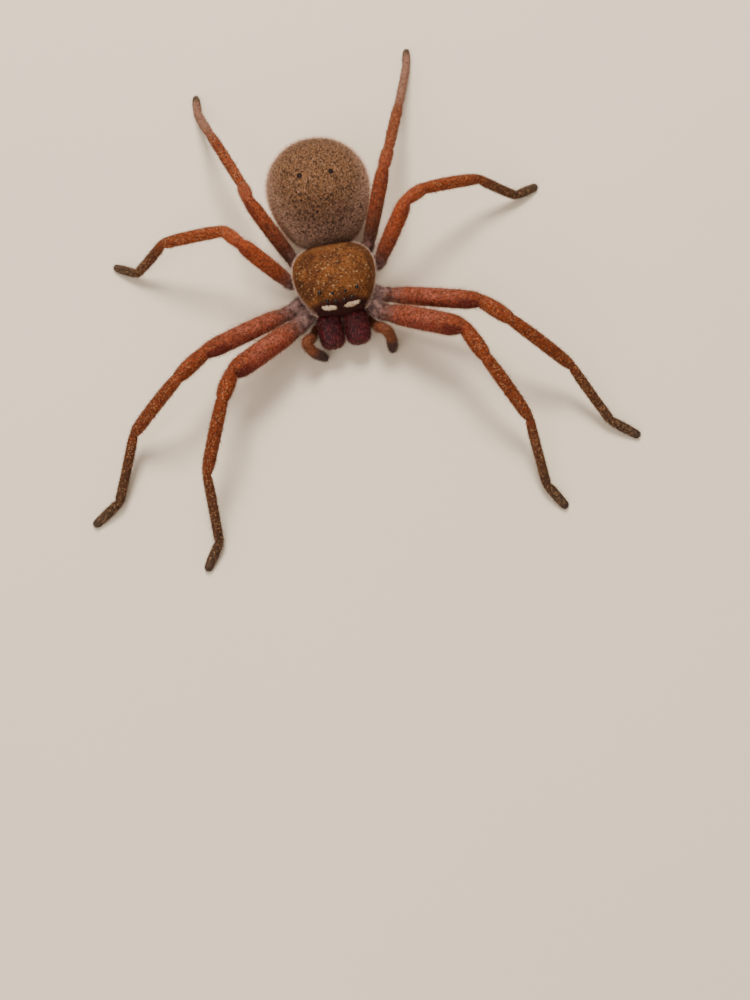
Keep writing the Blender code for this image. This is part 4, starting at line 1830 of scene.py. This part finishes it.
@dataclass
class Coat:
    """Tapered tufts, modelled once and set over a surface in joined meshes."""

    rng: np.random.Generator = field(default_factory=lambda: np.random.default_rng(SEED))
    sink: float = 0.06
    flatness: float = 0.6
    lift_spread: Span = (0.6, 1.4)
    bend_height: float = 0.5
    bend_width: float = 0.62
    droop: float = 0.22
    patch: float = 0.003
    patch_margin: float = 0.01
    templates: dict[bool, tuple[Array, list[tuple[int, ...]]]] = field(default_factory=dict)

    def template(self, bent: bool) -> tuple[Array, list[tuple[int, ...]]]:
        """Return one tuft's corners and faces, drawn along Z from 0 to 1.

        Args:
            bent: Whether the tuft has a second ring so that it can bend.

        Returns:
            The corners, and each face as places in them.
        """
        if bent not in self.templates:
            depth = self.bend_height if bent else 1.0
            deselect()
            bpy.ops.mesh.primitive_cone_add(
                vertices=3,
                radius1=1.0,
                radius2=self.bend_width if bent else 0.0,
                depth=depth,
                end_fill_type="NGON",
                location=(0.0, 0.0, 0.5 * depth),
            )
            if bent:
                self.point_up(bpy.context.object, 1.0 - depth)
            tuft = settle(bpy.context.object, "tuft")
            corners = np.array([vertex.co for vertex in tuft.data.vertices], float)
            faces = [tuple(face.vertices) for face in tuft.data.polygons]
            bpy.data.objects.remove(tuft, do_unlink=True)
            self.templates[bent] = (corners, faces)
        return self.templates[bent]

    @staticmethod
    def point_up(cone: Thing, height: float) -> None:
        """Draw a cone's flat top up to a point.

        Args:
            cone: The cone.
            height: How far its point rises above the top.
        """
        bpy.ops.object.mode_set(mode="EDIT")
        bpy.ops.mesh.select_all(action="DESELECT")
        bpy.ops.object.mode_set(mode="OBJECT")
        for face in cone.data.polygons:
            face.select = face.normal.z > 0.9
        bpy.ops.object.mode_set(mode="EDIT")
        bpy.ops.mesh.extrude_region_move(TRANSFORM_OT_translate={"value": (0.0, 0.0, height)})
        bpy.ops.mesh.merge(type="CENTER")
        bpy.ops.object.mode_set(mode="OBJECT")

    def stand(self, hair: Hair, roots: Roots, lie: Array, length: Array | float) -> Array:
        """Set one tuft on each root.

        Args:
            hair: The cut of the hair.
            roots: The roots.
            lie: The way the hair lies at each root.
            length: A factor on the hair's length, for each root or for all.

        Returns:
            Each tuft's corners in millimetres, none below the floor.
        """
        count, normals = len(roots.points), roots.normals
        flat = unit(lie - normals * np.sum(lie * normals, axis=1, keepdims=True))
        turn = self.rng.normal(0.0, hair.turn_spread, count)[:, None]
        flat = unit(flat * np.cos(turn) + np.cross(normals, flat) * np.sin(turn))
        lift = np.radians(hair.lift * self.rng.uniform(*self.lift_spread, count))[:, None]
        way = flat * np.cos(lift) + normals * np.sin(lift)
        side = unit(np.cross(way, normals))
        thick = np.cross(side, way)
        tall = hair.length * length * (1.0 + hair.length_spread * self.rng.uniform(-1.0, 1.0, count))
        tall = tall[:, None, None]
        x, y, z = self.template(hair.bent)[0].T[:, None, :, None]
        body = roots.points[:, None] - normals[:, None] * self.sink + way[:, None] * (z * tall)
        body = body + side[:, None] * (x * hair.width)
        body = body + thick[:, None] * (y * hair.width * self.flatness)
        if hair.bent:
            body = body - normals[:, None] * (z * z * tall * self.droop)
        body[..., 2] = np.maximum(body[..., 2], 0.0)
        return body

    @staticmethod
    def weave(name: str, body: Array, faces: list[tuple[int, ...]]) -> tuple[Mesh, Array]:
        """Join tufts into one mesh.

        Args:
            name: The mesh's name.
            body: Each tuft's corners in millimetres.
            faces: One tuft's faces, as places in its corners.

        Returns:
            The mesh, and the corner at each corner of its faces.
        """
        count, size = body.shape[:2]
        loops = np.concatenate([np.array(face) for face in faces])
        indices = (loops[None] + (np.arange(count) * size)[:, None]).ravel()
        totals = np.tile([len(face) for face in faces], count)
        starts = np.concatenate(([0], np.cumsum(totals)[:-1]))
        mesh = bpy.data.meshes.new(name)
        mesh.vertices.add(count * size)
        mesh.loops.add(len(indices))
        mesh.polygons.add(len(totals))
        mesh.vertices.foreach_set("co", (body * MM).astype(np.float32).ravel())
        mesh.loops.foreach_set("vertex_index", indices.astype(np.int32))
        mesh.polygons.foreach_set("loop_start", starts.astype(np.int32))
        mesh.polygons.foreach_set("use_smooth", np.ones(len(totals), bool))
        mesh.update(calc_edges=True)
        mesh.validate()
        return mesh, indices

    def unwrap(self, mesh: Mesh, indices: Array, corners: Array, places: Array) -> None:
        """Lay each tuft on the bake map, as a small patch at its root's place.

        Args:
            mesh: The tufts' mesh.
            indices: The corner at each corner of its faces.
            corners: One tuft's corners.
            places: Each root's place, from 0 to 1, on an unwrap of the surface it grows from.
        """
        spread = 0.5 + 0.5 * corners[:, :2]
        spread[:, 1] = 0.5 * spread[:, 1] + 0.5 * corners[:, 2]
        inner = self.patch_margin + (1.0 - 2.0 * self.patch_margin) * np.clip(places, 0.0, 1.0)
        patches = inner[:, None] + self.patch * spread[None]
        layer = mesh.uv_layers.new(name=BAKE_MAP)
        layer.uv.foreach_set("vector", patches.reshape(-1, 2)[indices].astype(np.float32).ravel())

    def grow(
        self,
        growth: Growth,
        roots: Roots,
        lie: Array,
        marks: Marks,
        places: Array,
        length: Array | float = 1.0,
    ) -> Thing:
        """Set one tuft on each root and join them all into one piece.

        Args:
            growth: What grows.
            roots: The roots.
            lie: The way the hair lies at each root.
            marks: Numbers for each root that the material reads.
            places: Each root's place, from 0 to 1, on an unwrap of the surface it grows from.
            length: A factor on the hair's length, for each root or for all.

        Returns:
            The piece, riding on the body.
        """
        body = self.stand(growth.hair, roots, lie, length)
        corners, faces = self.template(growth.hair.bent)
        mesh, indices = self.weave(growth.name, body, faces)
        self.unwrap(mesh, indices, corners, places)
        count, size = body.shape[:2]
        store_attribute(mesh, "tip", np.tile(corners[:, 2], count))
        store_attribute(mesh, "tone", np.repeat(self.rng.random(count), size))
        for mark, values in marks.items():
            store_attribute(mesh, mark, np.repeat(values, size))
        mesh.materials.append(growth.material)
        piece = bpy.data.objects.new(growth.name, mesh)
        bpy.context.scene.collection.objects.link(piece)
        LOG.info("%s: %d tufts", growth.name, count)
        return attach(piece, "root")


@dataclass
class Pelage:
    """Which hair grows where."""

    coat: Coat
    skin: Skin
    shield: HeadShield
    jaws: list[Thing]
    velvet: Hair = Hair(0.32, 0.036, 38.0, 92.0)
    halo: Hair = Hair(0.70, 0.017, 60.0, 40.0)
    shield_hair: Hair = Hair(0.26, 0.029, 36.0, 110.0)
    fringe: Hair = Hair(0.62, 0.020, 10.0, 190.0, bent=True)
    leg_hair: Hair = Hair(0.34, 0.027, 30.0, 70.0)
    shag: Hair = Hair(0.50, 0.036, 44.0, 12.0)
    fuzz: Hair = Hair(0.78, 0.017, 56.0, 17.0)
    bristle: Hair = Hair(0.95, 0.018, 46.0, 1.8, bent=True)
    brush: Hair = Hair(0.30, 0.018, 58.0, 90.0)
    foot_tuft: Hair = Hair(0.42, 0.020, 20.0, 150.0)
    spine: Hair = Hair(1.7, 0.048, 38.0, bent=True, length_spread=0.15, turn_spread=0.1)
    underside_hair: Hair = Hair(0.52, 0.024, 46.0, 60.0)
    palp_hair: Hair = Hair(0.52, 0.024, 40.0, 85.0)
    jaw_hair: Hair = Hair(0.46, 0.020, 36.0, 44.0)
    jaw_streak: Hair = Hair(0.55, 0.034, 24.0, 9.0)
    moustache: Hair = Hair(0.40, 0.032, 26.0, 260.0)
    pit_margin: float = 0.12
    halo_centre: float = 0.1
    halo_band: Span = (-0.75, -0.45)
    halo_floor: float = 0.1
    abdomen_ends: Span = (0.3, 1.2)
    thigh_fade: Span = (-2.2, -0.9)
    thigh_floor: float = 0.45
    hair_end: float = 4.97
    shag_end: float = 4.6
    bristle_upper: float = -0.6
    brush_start: float = 3.15
    brush_upper: float = -0.1
    tuft_start: float = 4.8
    foot_span: Span = (3.0, 5.0)
    spine_places: tuple[tuple[int, Profile], ...] = (
        (0, ((0.35, 70), (0.6, 110), (0.8, 60), (0.5, 20), (0.75, 160))),
        (2, ((0.3, 10), (0.7, 15), (0.3, 170), (0.7, 165), (0.2, 235), (0.2, 305), (0.5, 235), (0.5, 305))),
        (3, ((0.18, 230), (0.18, 310), (0.45, 235), (0.45, 305), (0.3, 175), (0.3, 5))),
    )
    spine_depth: float = 0.97
    spine_girth: float = 0.85
    middle_x: float = 0.45
    underside_height: float = 4.0
    underside_ends: Span = (-8.0, 21.0)
    palp_height: float = 2.5
    palp_ends: Span = (-12.0, -3.0)
    eye_clearance: float = 0.46
    shield_height: float = 0.4
    fringe_heights: Span = (0.25, 1.0)
    fringe_half: float = 2.9
    patch_place: Span = (1.45, 7.58)
    patch_half: Span = (0.98, 0.27)
    patch_depth: float = 1.0
    jaw_depth: float = 0.3
    jaw_lie: Triple = (0.0, -1.0, -0.5)
    turf: Ground | None = None
    turf_marks: Marks = field(default_factory=dict)

    def build(self) -> list[Thing]:
        """Grow every piece of the coat.

        Returns:
            The pieces.
        """
        self.turf = Ground(self.skin.thing)
        self.turf_marks = self.skin.regions(self.turf.centres)
        made = [*self.abdomen(), *self.legs(), self.underside(), self.palps()]
        made += [*self.head(), *self.face()]
        return made

    def cover(self, growth: Growth, unwrap: Callable[[Array], Array]) -> Thing:
        """Grow one piece on the skin.

        Args:
            growth: What grows, and where.
            unwrap: Gives points their places, from 0 to 1, on an unwrap of the skin.

        Returns:
            The piece.
        """
        roots = self.turf.scatter(growth, self.coat.rng)
        marks = self.skin.regions(roots.points)
        lie = marks["lie"] + np.array(growth.pull)
        length = growth.length - growth.foot_loss * fade(marks["along"], *self.foot_span)
        places = unwrap(roots.points)
        piece = self.coat.grow(growth, roots, lie, self.material_marks(marks), places, length)
        return piece

    def region(self, wanted: Region) -> Array:
        """Return which of the skin's triangles lie in a region."""
        return self.turf_marks["region"] == wanted.value

    @staticmethod
    def material_marks(marks: Marks) -> Marks:
        """Return the marks that the skin's materials read."""
        return {name: marks[name] for name in MARKS}

    @staticmethod
    def barrel(points: Array, centre: Array, low: float, high: float) -> Array:
        """Unwrap points as round a barrel that lies along Y."""
        angle = np.arctan2(points[:, 0] - centre[0], -(points[:, 2] - centre[2])) / (2.0 * math.pi) + 0.5
        return np.stack((angle, (points[:, 1] - low) / (high - low)), axis=1)

    def abdomen(self) -> list[Thing]:
        """Grow the abdomen's velvet, in a left and a right piece, and its longer pale hair.

        Returns:
            The pieces.
        """
        low, high = node_bounds("abdomen")
        centre = 0.5 * (low + high)
        at = self.turf.centres
        bare = np.ones(len(at))
        for x, y, radius in ABDOMEN.pits:
            away = np.hypot(at[:, 0] - x, at[:, 1] - self.pit_margin - y)
            bare *= fade(away, radius, radius + 2.0 * self.pit_margin)
        grows = self.region(Region.ABDOMEN) * np.where(at[:, 2] > centre[2], bare, 1.0)
        at_side = fade(-np.abs(self.turf_marks["upper"] - self.halo_centre), *self.halo_band)
        velvet = ABDOMEN.hair()
        growths = []
        for side in Side:
            half = grows * ((at[:, 0] - centre[0]) * side.value >= 0.0)
            growths.append(Growth(f"abdomen_velvet_{side.label}", self.velvet, velvet, half))
        pale = ABDOMEN.hair("abdomen_halo", shade=0.95, tip=0.75)
        ring = grows * (self.halo_floor + (1.0 - self.halo_floor) * at_side)
        growths.append(Growth("abdomen_halo", self.halo, pale, ring))
        start, end = low[1] - self.abdomen_ends[0], high[1] + self.abdomen_ends[1]
        unwrap = partial(self.barrel, centre=centre, low=start, high=end)
        return [self.cover(growth, unwrap) for growth in growths]

    def leg_growths(self) -> list[Growth]:
        """Return what grows on every leg: short hair, shag, fuzz, bristles, foot brush and claw tuft.

        Returns:
            What grows, for all legs at once.
        """
        short, foot = LEG.hair(), FOOT_HAIR.hair()
        pale = LEG.hair("leg_fuzz", shade=1.3, tip=0.8)
        place, upper = self.turf_marks["along"], self.turf_marks["upper"]
        front_share = self.thigh_floor + (1.0 - self.thigh_floor) * self.turf_marks["front"]
        thigh = fade(-place, *self.thigh_fade) * front_share
        sole = (place > self.brush_start) & (upper < self.brush_upper)
        return [
            Growth("hair", self.leg_hair, short, place < self.hair_end, length=1.15, foot_loss=0.35),
            Growth("shag", self.shag, short, place < self.shag_end),
            Growth("fuzz", self.fuzz, pale, thigh),
            Growth("bristles", self.bristle, short, upper > self.bristle_upper),
            Growth("brush", self.brush, foot, sole),
            Growth("tuft", self.foot_tuft, foot, place > self.tuft_start, pull=(0.0, 0.0, -0.25)),
        ]

    def legs(self) -> list[Thing]:
        """Grow the hair and the spines of each leg.

        Returns:
            The pieces.
        """
        made = []
        growths = self.leg_growths()
        spine_material = SPINE.hair()
        for index, leg in enumerate(self.skin.legs):
            mine = self.region(Region.LEG) & (self.turf_marks["limb"] == index)
            unwrap = partial(self.round_leg, leg)
            for kind in growths:
                growth = replace(kind, name=f"{leg.name}_{kind.name}", keep=mine * kind.keep)
                made.append(self.cover(growth, unwrap))
            made.append(self.spines(leg, spine_material))
        return made

    @staticmethod
    def round_leg(leg: Leg, points: Array) -> Array:
        """Unwrap points round a leg: along it, and about its centre line.

        Args:
            leg: The leg.
            points: Points in millimetres.

        Returns:
            Each point's place, from 0 to 1.
        """
        along, _distance, way, offset = leg.locate(points)
        across = unit(np.cross(way, UP))
        above = np.cross(across, way)
        angle = np.arctan2(np.sum(offset * above, axis=1), np.sum(offset * across, axis=1))
        return np.stack((along / len(leg.segments), angle / (2.0 * math.pi) + 0.5), axis=1)

    def spines(self, leg: Leg, material: Material) -> Thing:
        """Set the leg's stout spines in their rows.

        Args:
            leg: The leg that they stand on.
            material: Their material.

        Returns:
            The spines, as one piece.
        """
        points, normals, lies, sizes = [], [], [], []
        for segment, spots in self.spine_places:
            joint = leg.joints[segment]
            across = unit(np.cross(joint.direction, UP))
            above = np.cross(across, joint.direction)
            for fraction, degrees in spots:
                angle = math.radians(degrees)
                outward = across * math.cos(angle) + above * math.sin(angle)
                points.append(joint.point(fraction) + outward * joint.girth * self.spine_depth)
                normals.append(outward)
                lies.append(joint.direction)
                sizes.append(joint.girth / self.spine_girth)
        roots = Roots(np.array(points), np.array(normals))
        marks = self.material_marks(self.skin.regions(roots.points))
        growth = Growth(f"{leg.name}_spines", self.spine, material, np.ones(len(points)))
        places = self.round_leg(leg, roots.points)
        piece = self.coat.grow(growth, roots, np.array(lies), marks, places, np.array(sizes))
        return piece

    def underside(self) -> Thing:
        """Grow the hair of the hips, breastplate and spinnerets.

        Returns:
            The piece.
        """
        hips = self.region(Region.UNDERSIDE)
        growth = Growth("underside_hair", self.underside_hair, UNDERSIDE.hair(), hips)
        centre = np.array((self.middle_x, 0.0, self.underside_height))
        low, high = self.underside_ends
        return self.cover(growth, partial(self.barrel, centre=centre, low=low, high=high))

    def palps(self) -> Thing:
        """Grow the palps' hair.

        Returns:
            The piece.
        """
        growth = Growth("palp_hair", self.palp_hair, PALP.hair(), self.region(Region.PALP))
        centre = np.array((self.middle_x, 0.0, self.palp_height))
        low, high = self.palp_ends
        return self.cover(growth, partial(self.barrel, centre=centre, low=low, high=high))

    def head_growths(self, at: Array) -> list[Growth]:
        """Return what grows on the head shield: velvet, a fringe round the rim and two white patches.

        Args:
            at: The middles of the shield's triangles.

        Returns:
            The three pieces.
        """
        low, high = node_bounds("carapace")
        eyes = [0.5 * np.add(*node_bounds(name)) for name in EYE_NAMES]
        from_eyes = np.min([np.linalg.norm(at - eye, axis=1) for eye in eyes], axis=0)
        from_middle = np.abs(at[:, 0] - 0.5 * (low[0] + high[0]))
        across = (from_middle - self.patch_place[0]) / self.patch_half[0]
        rise = (at[:, 2] - self.patch_place[1]) / self.patch_half[1]
        white = (across**2 + rise**2 < 1.0) & (at[:, 1] < low[1] + self.patch_depth)
        velvet = (from_eyes > self.eye_clearance) & (at[:, 2] > low[2] + self.shield_height) & ~white
        rim = (at[:, 2] < low[2] + self.fringe_heights[1]) & (at[:, 2] > low[2] + self.fringe_heights[0])
        rim &= from_middle > self.fringe_half
        return [
            Growth("head_velvet", self.shield_hair, SHIELD.hair(), velvet, comb=0.6, pull=(0.0, 0.8, 0.0)),
            Growth("head_fringe", self.fringe, FRINGE.hair(), rim),
            Growth("white_patches", self.moustache, WHITE.hair(), white, comb=0.0, pull=(0.0, -0.4, -1.0)),
        ]

    def head(self) -> list[Thing]:
        """Grow the head shield's hair, combed outward from its middle.

        Returns:
            The pieces.
        """
        low, high = node_bounds("carapace")
        middle = 0.5 * (low + high)
        ground = Ground(self.shield.thing)
        made = []
        for growth in self.head_growths(ground.centres):
            roots = ground.scatter(growth, self.coat.rng)
            outward = unit((roots.points - middle) * (1.0, 1.0, 0.0))
            lie = outward * growth.comb + np.array(growth.pull)
            marks = self.shield.marks(roots.points)
            across, back = roots.points[:, 0] - middle[0], roots.points[:, 1] - middle[1]
            angle = np.arctan2(across, back) / (2.0 * math.pi) + 0.5
            places = np.stack((angle, marks["rim"]), axis=1)
            made.append(self.coat.grow(growth, roots, lie, marks, places))
        return made

    def face(self) -> list[Thing]:
        """Grow the jaws' hair and their paler streaks.

        Returns:
            The pieces.
        """
        front = node_box("carapace")[0].y
        short = JAW.hair()
        pale = JAW.hair("jaw_streak", shade=2.2, tip=0.9)
        made = []
        for jaw in self.jaws:
            ground = Ground(jaw)
            bare = ground.centres[:, 1] < front + self.jaw_depth
            growths = (
                Growth(f"{jaw.name}_hair", self.jaw_hair, short, bare),
                Growth(f"{jaw.name}_streaks", self.jaw_streak, pale, bare),
            )
            for growth in growths:
                roots = ground.scatter(growth, self.coat.rng)
                points = roots.points
                lie = np.tile(self.jaw_lie, (len(points), 1))
                places = self.barrel(points, points.mean(axis=0), points[:, 1].min(), points[:, 1].max())
                made.append(self.coat.grow(growth, roots, lie, {}, places))
        return made


@dataclass(frozen=True)
class Lamp:
    """One soft lamp of the studio, in metres and watts."""

    name: str
    place: Triple
    size: float
    power: float
    tint: Colour

    def build(self, aim: Vector) -> None:
        """Hang the lamp and turn it to the spider.

        Args:
            aim: The point that it looks at.
        """
        deselect()
        bpy.ops.object.light_add(type="AREA", location=self.place)
        lamp = bpy.context.object
        lamp.name = self.name
        lamp.rotation_euler = (aim - Vector(self.place)).to_track_quat("-Z", "Y").to_euler()
        lamp.data.size = self.size
        lamp.data.energy = self.power
        lamp.data.color = self.tint


@dataclass(frozen=True)
class Studio:
    """Pale floor, soft light and the camera.

    The floor and the lamps are in metres. The camera's aim and distance are in millimetres, and
    its tilt and turn in degrees.
    """

    aim: Triple = (0.17, -29.31, 0.0)
    tilt: float = 10.0
    turn: float = -11.0
    distance: float = 107.0
    lens: float = 29.16
    sensor: float = 36.0
    nearest_view: float = 0.01
    floor_size: float = 3.0
    floor_drop: float = 0.00002
    floor_tint: Colour = (0.80, 0.66, 0.50)
    floor_shade: float = 0.97
    floor_patches: Patches = Patches(40.0)
    floor_roughness: float = 0.9
    floor_gloss: float = 0.1
    sky_tint: Colour = (1.0, 0.95, 0.90)
    sky: float = 0.55
    lamp_aim: Triple = (0.0, 0.0, 0.005)
    lamps: tuple[Lamp, ...] = (
        Lamp("key", (0.02, 0.24, 0.36), 0.16, 2.6, (1.0, 0.96, 0.92)),
        Lamp("fill", (-0.22, -0.26, 0.30), 0.35, 1.3, (1.0, 0.97, 0.95)),
    )

    def build(self) -> None:
        """Make the floor, the lamps, the sky and the camera."""
        self.floor()
        for lamp in self.lamps:
            lamp.build(Vector(self.lamp_aim))
        world = bpy.data.worlds.new("sky")
        world.use_nodes = True
        sky = world.node_tree.nodes["Background"]
        sky.inputs["Color"].default_value = (*self.sky_tint, 1.0)
        sky.inputs["Strength"].default_value = self.sky
        bpy.context.scene.world = world
        self.camera()

    def floor(self) -> None:
        """Lay the floor."""
        deselect()
        bpy.ops.mesh.primitive_plane_add(size=self.floor_size, location=(0.0, 0.0, -self.floor_drop))
        floor = settle(bpy.context.object, "floor")
        board = Board("floor")
        darker = tuple(self.floor_shade * part for part in self.floor_tint)
        tint = board.mix(board.noise(self.floor_patches), self.floor_tint, darker)
        floor.data.materials.append(board.finish(tint, self.floor_roughness, self.floor_gloss))

    def camera(self) -> None:
        """Place the camera."""
        tilt, turn = math.radians(self.tilt), math.radians(self.turn)
        back = Vector((math.sin(turn) * math.sin(tilt), -math.cos(turn) * math.sin(tilt), math.cos(tilt)))
        place = (Vector(self.aim) + back * self.distance) * MM
        deselect()
        bpy.ops.object.camera_add(location=place, rotation=(tilt, 0.0, turn))
        camera = bpy.context.object
        camera.data.lens = self.lens
        camera.data.sensor_width = self.sensor
        camera.data.clip_start = self.nearest_view
        bpy.context.scene.camera = camera


def report(*things: Thing) -> None:
    """Log each finished piece with its number of faces."""
    for thing in things:
        LOG.info("%s: %d faces", thing.name, len(thing.data.polygons))


def main() -> None:
    """Build the spider and its studio."""
    logging.basicConfig(level=logging.INFO, format="%(message)s")
    Studio().build()
    legs = [Leg(number, side) for number in (1, 2, 3, 4) for side in Side]
    skin = Skin(legs)
    report(skin.build())
    shield = HeadShield()
    report(shield.build())
    report(*Eyes(EYE).build())
    mouth = Jaws(JAW, FANG)
    report(*mouth.build())
    report(Claws(legs, FANG).build())
    Pelage(Coat(), skin, shield, mouth.jaws).build()


if __name__ == "__main__":
    main()
